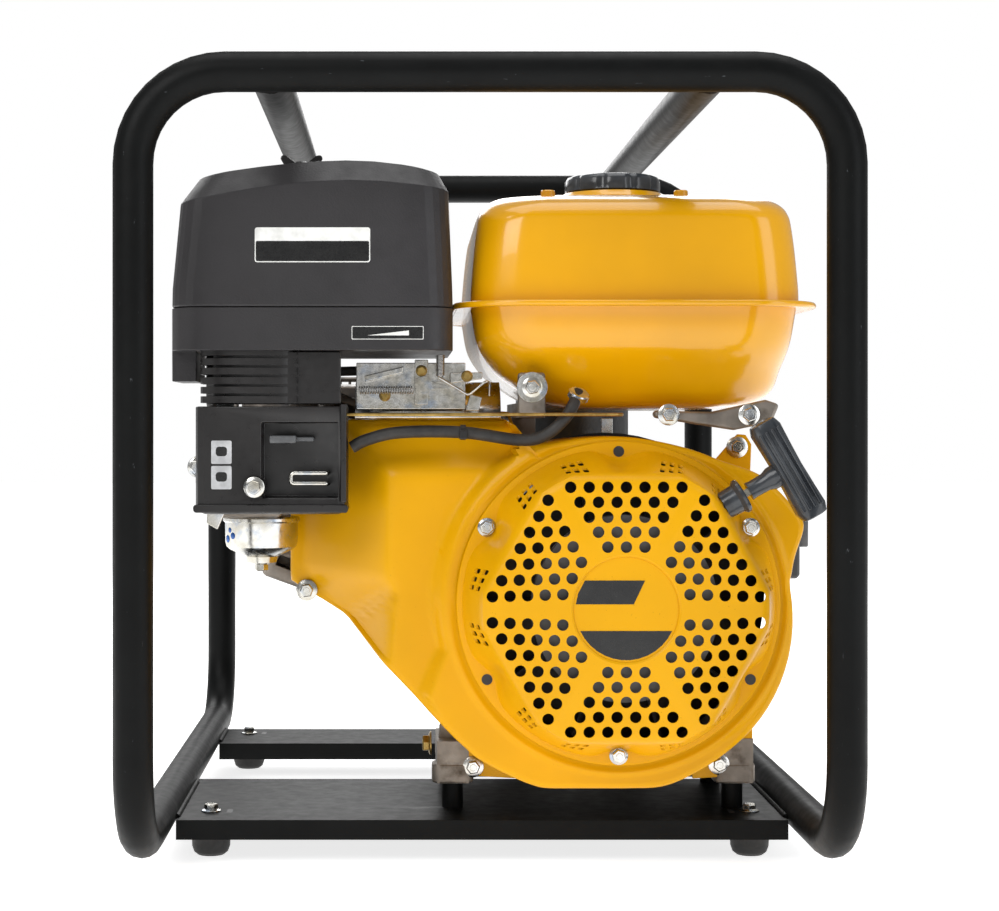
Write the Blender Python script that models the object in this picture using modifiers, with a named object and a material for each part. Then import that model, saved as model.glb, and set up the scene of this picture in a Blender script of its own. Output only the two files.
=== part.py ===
"""Petrol-engine trash pump in a tubular carrying frame.

Metres, +Z up. The origin is on the ground under the middle of the frame. The engine's flywheel side,
with the recoil starter, looks along -Y; the pump sits behind the engine, towards +Y.
"""

import math

import bmesh
import bpy
from mathutils import Matrix, Vector

GAP = 0.0003  # kept between pieces that touch

# Carrying frame: one bent tube, front and rear hoops joined by two bottom runs
TUBE_RADIUS = 0.0127
FRAME_HALF_WIDTH = 0.2213
FRAME_HALF_LENGTH = 0.325
FRAME_TOP = 0.5173
FRAME_RUN = 0.032
FRAME_BEND = 0.057
RAIL_X = 0.137
PLATE_TOP = 0.030
PLATE_HALF_WIDTH = 0.2081
PLATE_LIP = 0.0135
PLATE_SHEET = 0.003
ENGINE_PLATE_Y = (-0.200, -0.034)
PUMP_PLATE_Y = (0.142, 0.226)
FOOT_X = 0.187
FOOT_Y = (-0.167, 0.200)
SPACER_X = (-0.019, 0.1775)
SPACER_Y = (-0.150, -0.045)
SPACER_RADIUS = 0.0075

# Engine: the crank axis is parallel to Y
CRANK = Vector((0.088, 0.0, 0.181))
ENGINE_BASE = 0.049
BLOCK_Y = (-0.142, -0.015)
BLOCK_X = (-0.010, 0.186)
BLOCK_TOP = 0.262
COVER_BACK = 0.010
CYLINDER_TILT = math.radians(20)
CYLINDER_MIDDLE_Y = -0.078
HEAD_START = 0.190
HEAD_END = 0.232
STROKE = 0.064
BORE_RADIUS = 0.044

# Flywheel side
SHROUD_FRONT = -0.242
SHROUD_BACK = -0.150
SHROUD_BOTTOM = 0.0578
DRUM = (  # angle about the crank, and radius: the fan's housing widens towards the wing
    (227, 0.1395), (238, 0.1355), (248, 0.1325), (259, 0.1262), (272, 0.1235), (284, 0.1258),
    (294, 0.1245), (306, 0.1230), (321, 0.1224), (338, 0.1200), (356, 0.1163), (367, 0.1150),
)
SHROUD_WALL = 0.002
SHROUD_TOP = 0.3025
RECOIL_FLANGE_RADIUS = 0.1065
RECOIL_FACE = -0.293
RECOIL_FLATS = 0.085  # centre to a flat of the six-sided face
PULLEY_RADIUS = 0.055
PULL_ANGLE = math.radians(30)
HANDLE = Vector((0.194, -0.274, 0.270))
GUIDE_REACH = 0.040  # from the middle of the grip back to the rope guide
GUIDE_LENGTH = 0.006
BLADES = 10

# Tank and air cleaner
TANK_SEAM = 0.378
TANK_X = (-0.0086, 0.2115)
TANK_Y = (-0.250, 0.040)
CAP = Vector((0.098, -0.105, 0.0))
CLEANER_X = (-0.206, -0.021)
CLEANER_Y = (-0.262, -0.080)
CLEANER_SEAM = 0.375
CLEANER_BASE = 0.347

# Carburettor side
INTAKE_COVER_X = (-0.1895, -0.090)
INTAKE_COVER_Y = (-0.258, -0.228)
INTAKE_COVER_Z = (0.240, 0.3467)
BOWL = Vector((-0.150, -0.197, 0.0))

# Pump, on the crank axis
CASING_Y = (0.060, 0.200)
CASING_RADIUS = 0.105
RIM_RADIUS = 0.116
PORT_RADIUS = 0.038
PORT_WALL = 0.006
SUCTION = Vector((0.088, 0.0, 0.230))
DISCHARGE_Y = 0.130
COVER_THICKNESS = 0.012
KNOB_CIRCLE = 0.106

TOWARDS_FRONT = Matrix.Rotation(math.radians(90), 4, "X")  # turns +Z to -Y
CYLINDER_AXIS = Vector((-math.cos(CYLINDER_TILT), 0, math.sin(CYLINDER_TILT)))
PULL_AXIS = Vector((math.cos(PULL_ANGLE), 0, math.sin(PULL_ANGLE)))


# ---------------------------------------------------------------- materials

def finish(name, colour, roughness, metallic=0.0):
    material = bpy.data.materials.new(name)
    material.use_nodes = True
    shader = material.node_tree.nodes["Principled BSDF"]
    shader.inputs["Base Color"].default_value = (*colour, 1)
    shader.inputs["Roughness"].default_value = roughness
    shader.inputs["Metallic"].default_value = metallic
    return material


def make_finishes():
    return {
        "black_tube": finish("satin black powder coat", (0.012, 0.012, 0.013), 0.4),
        "yellow": finish("yellow gloss enamel", (0.80, 0.42, 0.01), 0.22),
        "tank_yellow": finish("golden gloss enamel", (0.80, 0.36, 0.01), 0.15),
        "black_plastic": finish("moulded black plastic", (0.025, 0.024, 0.024), 0.45),
        "castings": finish("cast aluminium", (0.23, 0.21, 0.19), 0.55, 0.7),
        "zinc": finish("zinc plated steel", (0.60, 0.60, 0.58), 0.28, 1.0),
        "steel": finish("machined steel", (0.42, 0.42, 0.43), 0.35, 1.0),
        "iron": finish("cast iron", (0.10, 0.10, 0.10), 0.6, 0.5),
        "rubber": finish("black rubber", (0.015, 0.015, 0.015), 0.8),
        "paper": finish("filter foam", (0.55, 0.50, 0.40), 0.9),
        "rope": finish("braided rope", (0.50, 0.48, 0.42), 0.8),
        "grey_plastic": finish("grey plastic", (0.30, 0.30, 0.31), 0.5),
    }


# ---------------------------------------------------------------- shape helpers

def place(name, mesh, material=None, matrix=None):
    """A named sub-part; without a material it is a cutter or a guide."""
    thing = bpy.data.objects.new(name, mesh)
    if material:
        mesh.materials.append(material)
        PARTS.objects.link(thing)
    else:
        CUTTERS.objects.link(thing)
        thing.hide_render = True
        thing.display_type = "WIRE"
    thing.matrix_world = matrix or Matrix()
    return thing


def mesh_from(bm, name):
    mesh = bpy.data.meshes.new(name)
    bm.to_mesh(mesh)
    bm.free()
    return mesh


def block(name, low, high, material=None, bevel=0.0, matrix=None):
    size = Vector(high) - Vector(low)
    middle = (Vector(high) + Vector(low)) / 2
    bm = bmesh.new()
    bmesh.ops.create_cube(bm, size=1, matrix=Matrix.Translation(middle) @ Matrix.Diagonal((*size, 1)))
    thing = place(name, mesh_from(bm, name), material, matrix)
    if bevel:
        rounding = thing.modifiers.new("edges", "BEVEL")
        rounding.width = bevel
        rounding.segments = 2
    return thing


def along(start, direction):
    """A matrix that stands local +Z at start, along direction."""
    return Matrix.Translation(start) @ Vector(direction).to_track_quat("Z", "Y").to_matrix().to_4x4()


def rod(name, start, end, radius, material=None, sides=20):
    start, end = Vector(start), Vector(end)
    length = (end - start).length
    bm = bmesh.new()
    bmesh.ops.create_cone(
        bm, cap_ends=True, segments=sides, radius1=radius, radius2=radius, depth=length,
        matrix=Matrix.Translation((0, 0, length / 2)),
    )
    return place(name, mesh_from(bm, name), material, along(start, end - start))


def turned(name, profile, matrix, material=None, steps=20):
    """Turns (radius, height) points about local Z; they run down the outer side, top to bottom."""
    bm = bmesh.new()
    points = [bm.verts.new((radius, 0, height)) for radius, height in profile]
    for first, second in zip(points, points[1:]):
        bm.edges.new((first, second))
    if profile[0][0] > 0:
        bm.edges.new((points[-1], points[0]))
    thing = place(name, mesh_from(bm, name), material, matrix)
    screw = thing.modifiers.new("turning", "SCREW")
    screw.steps = steps
    screw.render_steps = steps
    screw.use_merge_vertices = True
    screw.merge_threshold = 0.00001
    return thing


def ring_profile(inner, outer, low, high):
    return [(inner, high), (outer, high), (outer, low), (inner, low)]


def disc_profile(radius, low, high):
    return [(0, high), (radius, high), (radius, low), (0, low)]


def extruded(name, outline, y_low, y_high, material=None):
    """An outline of (x, z) points, made solid between two depths."""
    bm = bmesh.new()
    face = bm.faces.new([bm.verts.new((x, y_low, z)) for x, z in outline])
    grown = bmesh.ops.extrude_face_region(bm, geom=[face])
    moved = [item for item in grown["geom"] if isinstance(item, bmesh.types.BMVert)]
    bmesh.ops.translate(bm, verts=moved, vec=(0, y_high - y_low, 0))
    bmesh.ops.recalc_face_normals(bm, faces=bm.faces)
    return place(name, mesh_from(bm, name), material)


def lofted(name, rings, material=None, matrix=None):
    """A skin through rings of equal point counts, capped at the first and the last."""
    bm = bmesh.new()
    loops = [[bm.verts.new(point) for point in ring] for ring in rings]
    for lower, upper in zip(loops, loops[1:]):
        for index in range(len(lower)):
            after = (index + 1) % len(lower)
            bm.faces.new((lower[index], lower[after], upper[after], upper[index]))
    bm.faces.new(loops[0])
    bm.faces.new(loops[-1])
    bmesh.ops.recalc_face_normals(bm, faces=bm.faces)
    return place(name, mesh_from(bm, name), material, matrix)


def tube(name, points, radius, material, resolution=4):
    curve = bpy.data.curves.new(name, "CURVE")
    curve.dimensions = "3D"
    curve.bevel_depth = radius
    curve.bevel_resolution = resolution
    curve.use_fill_caps = True
    spline = curve.splines.new("POLY")
    spline.points.add(len(points) - 1)
    for point, position in zip(spline.points, points):
        point.co = (*position, 1)
    curve.materials.append(material)
    thing = bpy.data.objects.new(name, curve)
    PARTS.objects.link(thing)
    return thing


def boolean(thing, other, operation):
    step = thing.modifiers.new(other.name, "BOOLEAN")
    step.operation = operation
    step.object = other
    step.solver = "EXACT"


def cut(thing, *others):
    for other in others:
        boolean(thing, other, "DIFFERENCE")


def join(thing, *others):
    for other in others:
        boolean(thing, other, "UNION")


def rounded(corners, radius, steps):
    """A path through corners, each turned with an arc of the radius."""
    path = [corners[0]]
    for before, corner, after in zip(corners, corners[1:], corners[2:]):
        into = (corner - before).normalized()
        out = (after - corner).normalized()
        angle = into.angle(out)
        start = corner - into * radius * math.tan(angle / 2)
        centre = start + (out - into * into.dot(out)).normalized() * radius
        axis = into.cross(out).normalized()
        for step in range(steps + 1):
            turn = Matrix.Rotation(angle * step / steps, 3, axis)
            path.append(centre + turn @ (start - centre))
    path.append(corners[-1])
    return path


def smooth(points, steps):
    """A smooth curve through points (Catmull-Rom)."""
    ends = [points[0] * 2 - points[1], *points, points[-1] * 2 - points[-2]]
    path = []
    for a, b, c, d in zip(ends, ends[1:], ends[2:], ends[3:]):
        for step in range(steps):
            t = step / steps
            path.append(((b * 2) + (c - a) * t + (a * 2 - b * 5 + c * 4 - d) * t ** 2
                         + (b * 3 - a - c * 3 + d) * t ** 3) / 2)
    path.append(points[-1])
    return path


def rounded_box_ring(x_low, x_high, y_low, y_high, height, corner, steps=4):
    """A level ring around a rectangle with round corners."""
    centres = (
        (x_high - corner, y_high - corner, 0),
        (x_low + corner, y_high - corner, 90),
        (x_low + corner, y_low + corner, 180),
        (x_high - corner, y_low + corner, 270),
    )
    ring = []
    for x, y, first in centres:
        for step in range(steps + 1):
            angle = math.radians(first + 90 * step / steps)
            ring.append((x + corner * math.cos(angle), y + corner * math.sin(angle), height))
    return ring


# ---------------------------------------------------------------- carrying frame

def make_frame_half(name, side):
    corners = [
        Vector((-FRAME_HALF_WIDTH, side * GAP / 2, FRAME_RUN)),
        Vector((-FRAME_HALF_WIDTH, side * FRAME_HALF_LENGTH, FRAME_RUN)),
        Vector((-FRAME_HALF_WIDTH, side * FRAME_HALF_LENGTH, FRAME_TOP)),
        Vector((FRAME_HALF_WIDTH, side * FRAME_HALF_LENGTH, FRAME_TOP)),
        Vector((FRAME_HALF_WIDTH, side * FRAME_HALF_LENGTH, FRAME_RUN)),
        Vector((FRAME_HALF_WIDTH, side * GAP / 2, FRAME_RUN)),
    ]
    tube(name, rounded(corners, FRAME_BEND, 6), TUBE_RADIUS, FINISH["black_tube"])


def make_rail(name, x):
    reach = FRAME_HALF_LENGTH - TUBE_RADIUS - GAP
    ends = [Vector((x, -reach, FRAME_TOP)), Vector((x, reach, FRAME_TOP))]
    tube(name, ends, TUBE_RADIUS, FINISH["black_tube"])


def make_plate(name, depths, foot_y):
    """A folded plate between the bottom runs, its lips turned down, bored for the feet."""
    low, high = depths
    sheet = block(name, (-PLATE_HALF_WIDTH, low, PLATE_TOP - PLATE_LIP),
                  (PLATE_HALF_WIDTH, high, PLATE_TOP), FINISH["black_tube"])
    cut(sheet, block(name + "_underside", (-0.3, low + PLATE_SHEET, 0.0),
                     (0.3, high - PLATE_SHEET, PLATE_TOP - PLATE_SHEET)))
    for x in (-FOOT_X, FOOT_X):
        cut(sheet, rod(f"{name}_bore_{x}", (x, foot_y, 0), (x, foot_y, 0.1), 0.0045))
    return sheet


def make_plates():
    engine_plate = make_plate("engine_plate", ENGINE_PLATE_Y, FOOT_Y[0])
    for x in SPACER_X:
        for y in SPACER_Y:
            join(engine_plate, rod(f"spacer_{x}_{y}", (x, y, PLATE_TOP - 0.001),
                                   (x, y, ENGINE_BASE - GAP), SPACER_RADIUS, sides=16))
    make_plate("pump_plate", PUMP_PLATE_Y, FOOT_Y[1])


def make_foot(name, x, y):
    """A rubber foot whose stud passes the plate and carries a nut on top."""
    under = PLATE_TOP - PLATE_SHEET - GAP
    over = PLATE_TOP + GAP
    profile = [
        (0, over + 0.010), (0.004, over + 0.010), (0.004, over + 0.007), (0.0075, over + 0.007),
        (0.0075, over), (0.004, over), (0.004, under), (0.012, under),
        (0.0135, under - 0.014), (0.011, 0.002), (0.008, 0), (0, 0),
    ]
    turned(name, profile, Matrix.Translation((x, y, 0)), FINISH["rubber"], steps=12)


# ---------------------------------------------------------------- engine block

def on_cylinder(distance, y=CYLINDER_MIDDLE_Y):
    """The point this far from the crank along the cylinder's axis."""
    return Vector((CRANK.x, y, CRANK.z)) + CYLINDER_AXIS * distance


def cylinder_box(name, start, end, low, high, y_low, y_high, material=None, bevel=0.0):
    """A box in the cylinder's own directions: along the axis, and up across it."""
    matrix = Matrix.Translation(Vector((CRANK.x, 0, CRANK.z))) @ Matrix.Rotation(CYLINDER_TILT, 4, "Y")
    return block(name, (-end, y_low, low), (-start, y_high, high), material, bevel, matrix)


def on_crank(y):
    """Local +Z of a turned piece runs towards the front from this depth."""
    return Matrix.Translation((CRANK.x, y, CRANK.z)) @ TOWARDS_FRONT


def make_crankcase():
    crankcase = block("crankcase", (BLOCK_X[0], BLOCK_Y[0], ENGINE_BASE + 0.0008),
                      (BLOCK_X[1], BLOCK_Y[1], BLOCK_TOP), FINISH["castings"], 0.008)
    join(
        crankcase,
        rod("cylinder_barrel", on_cylinder(0.060), on_cylinder(HEAD_START - GAP), 0.058, sides=32),
        block("base_flange", (-0.029, -0.1405, ENGINE_BASE + 0.0004), (0.189, -0.020, 0.061)),
        block("left_lug", (-0.030, -0.165, ENGINE_BASE), (-0.008, -0.100, 0.078)),
        block("right_lug", (0.170, -0.165, ENGINE_BASE), (0.190, -0.100, 0.080)),
    )
    cut(
        crankcase,
        rod("crank_chamber", (CRANK.x, -0.126, CRANK.z), (CRANK.x, 0, CRANK.z), 0.075, sides=32),
        rod("cylinder_bore", on_cylinder(0.040), on_cylinder(0.200), BORE_RADIUS, sides=32),
        rod("front_bearing_bore", (CRANK.x, -0.2, CRANK.z), (CRANK.x, -0.1, CRANK.z), 0.0185),
        rod("dipstick_bore", (0.140, -0.110, 0.133), (0.200, -0.110, 0.133), 0.0083, sides=16),
    )


def make_crankcase_cover():
    cover = turned("crankcase_cover", ring_profile(0.0185, 0.086, -COVER_BACK, 0.015 - GAP),
                   on_crank(0), FINISH["castings"], steps=32)
    join(cover, block("cover_foot", (0.020, -0.0147, 0.0612), (0.156, 0.008, 0.150)))


def make_crankshaft():
    """Front journal, two webs with the crankpin between them, rear journal and pump shaft."""
    profile = [
        (0, 0.246), (0.011, 0.246), (0.011, 0.160), (0.018, 0.160), (0.018, 0.104),
        (0.048, 0.104), (0.048, 0.092), (0.018, 0.092), (0.018, 0.064), (0.048, 0.064),
        (0.048, 0.052), (0.018, 0.052), (0.018, -0.020), (0.0125, -0.020), (0.0125, -0.118),
        (0, -0.118),
    ]
    shaft = turned("crankshaft", profile, on_crank(0), FINISH["steel"], steps=16)
    pin = CYLINDER_AXIS * STROKE / 2 + CRANK
    join(shaft, rod("crankpin", (pin.x, -0.098, pin.z), (pin.x, -0.058, pin.z), 0.016, sides=14))


def make_piston():
    crown = on_cylinder(0.186)
    turned("piston", [
        (0, 0), (0.0436, 0), (0.0436, -0.050), (0.038, -0.050), (0.038, -0.010), (0, -0.010),
    ], along(crown, CYLINDER_AXIS), FINISH["castings"])


def make_head():
    head = cylinder_box("cylinder_head", HEAD_START, HEAD_END, -0.072, 0.068, -0.142, -0.030,
                        FINISH["castings"], 0.004)
    for low in (-0.062, -0.048, 0.040, 0.054):
        cut(head, cylinder_box(f"fin_gap_{low}", HEAD_START + 0.010, HEAD_END - 0.008, low,
                               low + 0.008, -0.150, -0.120))
    cylinder_box("valve_cover", HEAD_END + GAP, HEAD_END + 0.022, -0.048, 0.056, -0.140, -0.082,
                 FINISH["castings"], 0.005)
    turned("spark_plug_cap", [
        (0, 0.052), (0.008, 0.052), (0.010, 0.046), (0.010, 0.014), (0.012, 0.010), (0.012, 0),
        (0, 0),
    ], along(on_cylinder(HEAD_END + GAP, -0.056), CYLINDER_AXIS), FINISH["rubber"], steps=16)


def make_muffler():
    muffler = block("muffler", (-0.190, -0.018, 0.232), (-0.048, 0.072, 0.338), FINISH["iron"], 0.016)
    join(muffler, rod("exhaust_pipe", (-0.105, -0.0297, 0.262), (-0.105, 0.0, 0.262), 0.015, sides=20))


# ---------------------------------------------------------------- flywheel side

def shroud_outline(inset):
    """The housing's front view: the fan's circle, with a wing that leads air to the cylinder."""
    outline = [
        (0.006, SHROUD_TOP - inset),
        (-0.132 + inset, SHROUD_TOP - inset),
        (-0.132 + inset, 0.190 + inset * 0.6),
        (-0.094 + inset * 0.3, 0.168 + inset * 1.2),
    ]
    for degrees, radius in DRUM:
        angle = math.radians(degrees)
        reach = radius - inset
        height = max(CRANK.z + reach * math.sin(angle), SHROUD_BOTTOM + inset)
        outline.append((CRANK.x + reach * math.cos(angle), height))
    outline += [
        (0.211 - inset, 0.231),
        (0.200 - inset * 0.8, 0.252 - inset * 0.6),
        (0.178 - inset * 0.5, 0.2687 - inset * 0.9),
        (0.142 - inset * 0.3, 0.2805 - inset),
        (0.109, 0.2904 - inset),
        (0.076, 0.2935 - inset),
        (0.024, 0.291 - inset),
    ]
    return outline


def wing_slope(name, offset):
    """What lies in front of the wing's sloping face, taken off the housing."""
    bm = bmesh.new()
    corners = (
        (-0.200, -0.168 + offset), (-0.118, -0.168 + offset), (-0.075, -0.224 + offset),
        (-0.012, -0.230 + offset), (-0.004, -0.260 + offset), (-0.200, -0.260 + offset),
    )
    face = bm.faces.new([bm.verts.new((x, y, 0.0)) for x, y in corners])
    grown = bmesh.ops.extrude_face_region(bm, geom=[face])
    moved = [item for item in grown["geom"] if isinstance(item, bmesh.types.BMVert)]
    bmesh.ops.translate(bm, verts=moved, vec=(0, 0, 0.4))
    bmesh.ops.recalc_face_normals(bm, faces=bm.faces)
    return place(name, mesh_from(bm, name))


def make_shroud():
    shroud = extruded("fan_shroud", shroud_outline(0), SHROUD_FRONT, SHROUD_BACK, FINISH["yellow"])
    cut(shroud, wing_slope("wing_front", 0))
    hollow = extruded("shroud_hollow", shroud_outline(SHROUD_WALL), SHROUD_FRONT + SHROUD_WALL,
                      SHROUD_BACK + 0.02)
    cut(hollow, wing_slope("wing_front_inside", SHROUD_WALL))
    cut(shroud, hollow)
    cut(shroud, rod("fan_opening", (CRANK.x, -0.3, CRANK.z), (CRANK.x, -0.2, CRANK.z), 0.101, sides=36))


def recoil_ring(depth, radius, sixness):
    """A ring about the crank; sixness 1 is a six-sided face, 0 is a circle."""
    ring = []
    for index in range(36):
        angle = math.tau * index / 36
        off_flat = (angle + math.radians(30) + math.pi / 2) % (math.pi / 3) - math.pi / 6
        six = min(radius / math.cos(off_flat), radius * 1.085)
        reach = radius + (six - radius) * sixness
        ring.append((CRANK.x + reach * math.cos(angle), depth, CRANK.z + reach * math.sin(angle)))
    return ring


def make_recoil():
    wall = 0.002
    flange_front = SHROUD_FRONT - GAP - wall
    rings = [
        recoil_ring(RECOIL_FACE + wall, RECOIL_FLATS - wall - 0.004, 1),
        recoil_ring(RECOIL_FACE + 0.008, RECOIL_FLATS - wall, 1),
        recoil_ring(-0.262, 0.094 - wall, 0.3),
        recoil_ring(flange_front + wall, 0.102 - wall, 0),
        recoil_ring(flange_front + wall, RECOIL_FLANGE_RADIUS, 0),
        recoil_ring(flange_front, RECOIL_FLANGE_RADIUS, 0),
        recoil_ring(flange_front, 0.102, 0),
        recoil_ring(-0.262, 0.094, 0.3),
        recoil_ring(RECOIL_FACE + 0.006, RECOIL_FLATS, 1),
        recoil_ring(RECOIL_FACE, RECOIL_FLATS - 0.004, 1),
    ]
    housing = lofted("recoil_housing", rings, FINISH["yellow"])
    join(housing, rod("recoil_post", (CRANK.x, RECOIL_FACE + 0.001, CRANK.z),
                      (CRANK.x, -0.262, CRANK.z), 0.007, sides=16))
    pulley = ring_profile(0.0074, 0.060, 0, 0.012)
    pulley[2:2] = [(0.060, 0.0095), (PULLEY_RADIUS, 0.0095), (PULLEY_RADIUS, 0.0025), (0.060, 0.0025)]
    turned("recoil_pulley", pulley, on_crank(-0.274), FINISH["grey_plastic"], steps=32)
    turned("rope_guide", ring_profile(0.004, 0.009, 0, GUIDE_LENGTH),
           along(HANDLE - PULL_AXIS * GUIDE_REACH, PULL_AXIS), FINISH["black_plastic"], steps=16)


def make_handle():
    """A T-shaped grip on a short stem, across the direction of the pull."""
    matrix = Matrix.Translation(HANDLE) @ Matrix.Rotation(-PULL_ANGLE, 4, "Y")
    grip = block("recoil_handle", (-0.010, -0.012, -0.034), (0.010, 0.012, 0.034),
                 FINISH["black_plastic"], 0.004, matrix)
    stem_end = HANDLE - PULL_AXIS * (GUIDE_REACH - GUIDE_LENGTH - GAP)
    join(grip, rod("handle_stem", stem_end, HANDLE, 0.008, sides=16))


def make_flywheel():
    profile = [
        (0.0115, 0.232), (0.030, 0.232), (0.030, 0.256), (0.045, 0.262), (0.045, 0.260),
        (0.033, 0.254), (0.033, 0.222), (0.094, 0.214), (0.094, 0.172), (0.082, 0.172),
        (0.082, 0.200), (0.0115, 0.200),
    ]
    flywheel = turned("flywheel_fan", profile, on_crank(0), FINISH["iron"], steps=24)
    for index in range(BLADES):
        angle = math.tau * index / BLADES
        turn = Matrix.Translation(CRANK) @ Matrix.Rotation(angle, 4, "Y")
        join(flywheel, block(f"fan_blade_{index}", (0.046, -0.234, -0.001), (0.0935, -0.205, 0.001),
                             matrix=turn))


# ---------------------------------------------------------------- tank

def tank_ring(height, shrink_left, shrink_right, shrink_front, shrink_back, corner, wall=0.0):
    return rounded_box_ring(
        TANK_X[0] + shrink_left + wall, TANK_X[1] - shrink_right - wall,
        TANK_Y[0] + shrink_front + wall, TANK_Y[1] - shrink_back - wall,
        height, corner - wall,
    )


def make_tank():
    wall = 0.0015
    lip = -0.010
    low = TANK_SEAM + GAP / 2
    dome = ((0.388, 0, 0.042), (0.436, 0.006, 0.042), (0.450, 0.014, 0.046), (0.459, 0.032, 0.050),
            (0.4635, 0.058, 0.040))
    inner = [tank_ring(z - wall, s, s, s, s, c, wall) for z, s, c in reversed(dome)]
    outer = [tank_ring(z, s, s, s, s, c) for z, s, c in dome]
    upper = lofted("fuel_tank_upper", [
        *inner, tank_ring(low, 0, 0, 0, 0, 0.042, wall), tank_ring(low, lip, lip, lip, lip, 0.052),
        tank_ring(low + wall, lip, lip, lip, lip, 0.052), tank_ring(low + wall, 0, 0, 0, 0, 0.042),
        *outer,
    ], FINISH["tank_yellow"])
    join(upper, turned("filler_neck", ring_profile(0.020, 0.027, 0.440, 0.4655),
                       Matrix.Translation(CAP)))
    cut(upper, rod("filler_opening", CAP + Vector((0, 0, 0.43)), CAP + Vector((0, 0, 0.49)), 0.0235))
    high = TANK_SEAM - GAP / 2
    sump = ((0.352, 0.005, 0.004, 0.004, 0.004, 0.044), (0.335, 0.016, 0.008, 0.018, 0.010, 0.046),
            (0.318, 0.040, 0.014, 0.030, 0.020, 0.040), (0.309, 0.066, 0.026, 0.046, 0.036, 0.030))
    inside = [tank_ring(ring[0] + wall, *ring[1:], wall) for ring in reversed(sump)]
    outside = [tank_ring(*ring) for ring in sump]
    lofted("fuel_tank_lower", [
        *inside, tank_ring(high, 0, 0, 0, 0, 0.042, wall), tank_ring(high, lip, lip, lip, lip, 0.052),
        tank_ring(high - wall, lip, lip, lip, lip, 0.052), tank_ring(high - wall, 0, 0, 0, 0, 0.042),
        *outside,
    ], FINISH["tank_yellow"])
    turned("fuel_cap", [
        (0, 0.478), (0.030, 0.478), (0.0345, 0.474), (0.0345, 0.4658), (0.0215, 0.4658),
        (0.0215, 0.450), (0, 0.450),
    ], Matrix.Translation(CAP), FINISH["black_plastic"])


def make_tank_brackets():
    left = block("tank_bracket_left", (0.022, -0.243, 0.3032), (0.040, -0.236, 0.333),
                 FINISH["castings"], 0.002)
    join(
        left,
        block("left_arm", (0.022, -0.238, 0.3032), (0.040, -0.100, 0.313)),
        block("left_leg", (0.022, -0.140, BLOCK_TOP + GAP), (0.040, -0.100, 0.310)),
    )
    outline = [
        (0.112, 0.3032), (0.112, 0.308), (0.150, 0.307), (0.186, 0.315), (0.195, 0.312),
        (0.190, 0.300), (0.165, 0.295),
    ]
    extruded("tank_bracket_right", outline, -0.240, -0.228, FINISH["castings"])


# ---------------------------------------------------------------- air cleaner and carburettor

def cleaner_ring(height, shrink, corner, wall=0.0):
    return rounded_box_ring(
        CLEANER_X[0] + shrink + wall, CLEANER_X[1] - shrink - wall,
        CLEANER_Y[0] + shrink + wall, CLEANER_Y[1] - shrink - wall, height, corner - wall, 4,
    )


def make_air_cleaner():
    wall = 0.0025
    crown = ((CLEANER_SEAM + GAP, 0, 0.020), (0.440, 0.004, 0.022), (0.462, 0.013, 0.026),
             (0.470, 0.026, 0.030), (0.474, 0.050, 0.030))
    lofted("air_cleaner_cover", [
        *[cleaner_ring(z - wall, s, c, wall) for z, s, c in reversed(crown[1:])],
        cleaner_ring(CLEANER_SEAM + GAP, 0, 0.020, wall),
        *[cleaner_ring(z, s, c) for z, s, c in crown],
    ], FINISH["black_plastic"])
    base = lofted("air_cleaner_base", [
        cleaner_ring(CLEANER_BASE + wall, 0, 0.020, wall), cleaner_ring(CLEANER_SEAM, 0, 0.020, wall),
        cleaner_ring(CLEANER_SEAM, 0, 0.020), cleaner_ring(CLEANER_BASE, 0, 0.020),
    ], FINISH["black_plastic"])
    join(base, block("base_horn", (-0.206, -0.242, 0.327), (-0.1900, -0.180, 0.3485)))
    cut(base, rod("air_duct", (-0.140, -0.235, 0.33), (-0.140, -0.235, 0.36), 0.018))
    middle = Matrix.Translation((-0.1135, -0.171, 0))
    turned("filter_element", ring_profile(0.040, 0.062, 0.352, 0.440), middle, FINISH["paper"])
    nut = turned("wing_nut", disc_profile(0.007, 0.4743, 0.483), Matrix.Translation((-0.124, -0.171, 0)),
                 FINISH["black_plastic"], steps=16)
    join(nut, block("nut_wings", (-0.139, -0.1728, 0.4755), (-0.109, -0.1692, 0.4855)))


def make_intake_cover():
    """The ribbed housing over the carburettor's mouth, with a pocket for its two levers."""
    cover = block("intake_cover", (INTAKE_COVER_X[0], INTAKE_COVER_Y[0], INTAKE_COVER_Z[0]),
                  (INTAKE_COVER_X[1], INTAKE_COVER_Y[1], INTAKE_COVER_Z[1]),
                  FINISH["black_plastic"], 0.006)
    cut(cover, block("lever_pocket", (-0.146, -0.262, 0.251), (-0.096, -0.240, 0.300)),
        block("air_passage", (-0.160, -0.250, 0.312), (-0.118, -0.232, 0.350)),
        block("link_slot", (-0.114, -0.256, 0.3018), (-0.080, -0.249, 0.3086)))


def make_carburettor():
    body = block("carburettor", (-0.184, INTAKE_COVER_Y[1] + GAP, 0.2365), (-0.134, -0.1423, 0.288),
                 FINISH["castings"], 0.004)
    cut(body, rod("carburettor_bore", (-0.164, -0.3, 0.266), (-0.164, -0.1, 0.266), 0.013, sides=20))
    turned("float_bowl", [
        (0, 0.2362), (0.0255, 0.2362), (0.0255, 0.214), (0.016, 0.204), (0.006, 0.203),
        (0.006, 0.196), (0, 0.196),
    ], Matrix.Translation(BOWL), FINISH["zinc"])
    block("choke_lever", (-0.141, -0.2575, 0.2865), (-0.112, -0.2425, 0.2915), FINISH["grey_plastic"], 0.001)
    block("fuel_valve_lever", (-0.130, -0.2575, 0.2585), (-0.101, -0.2425, 0.2685), FINISH["zinc"], 0.001)


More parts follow.
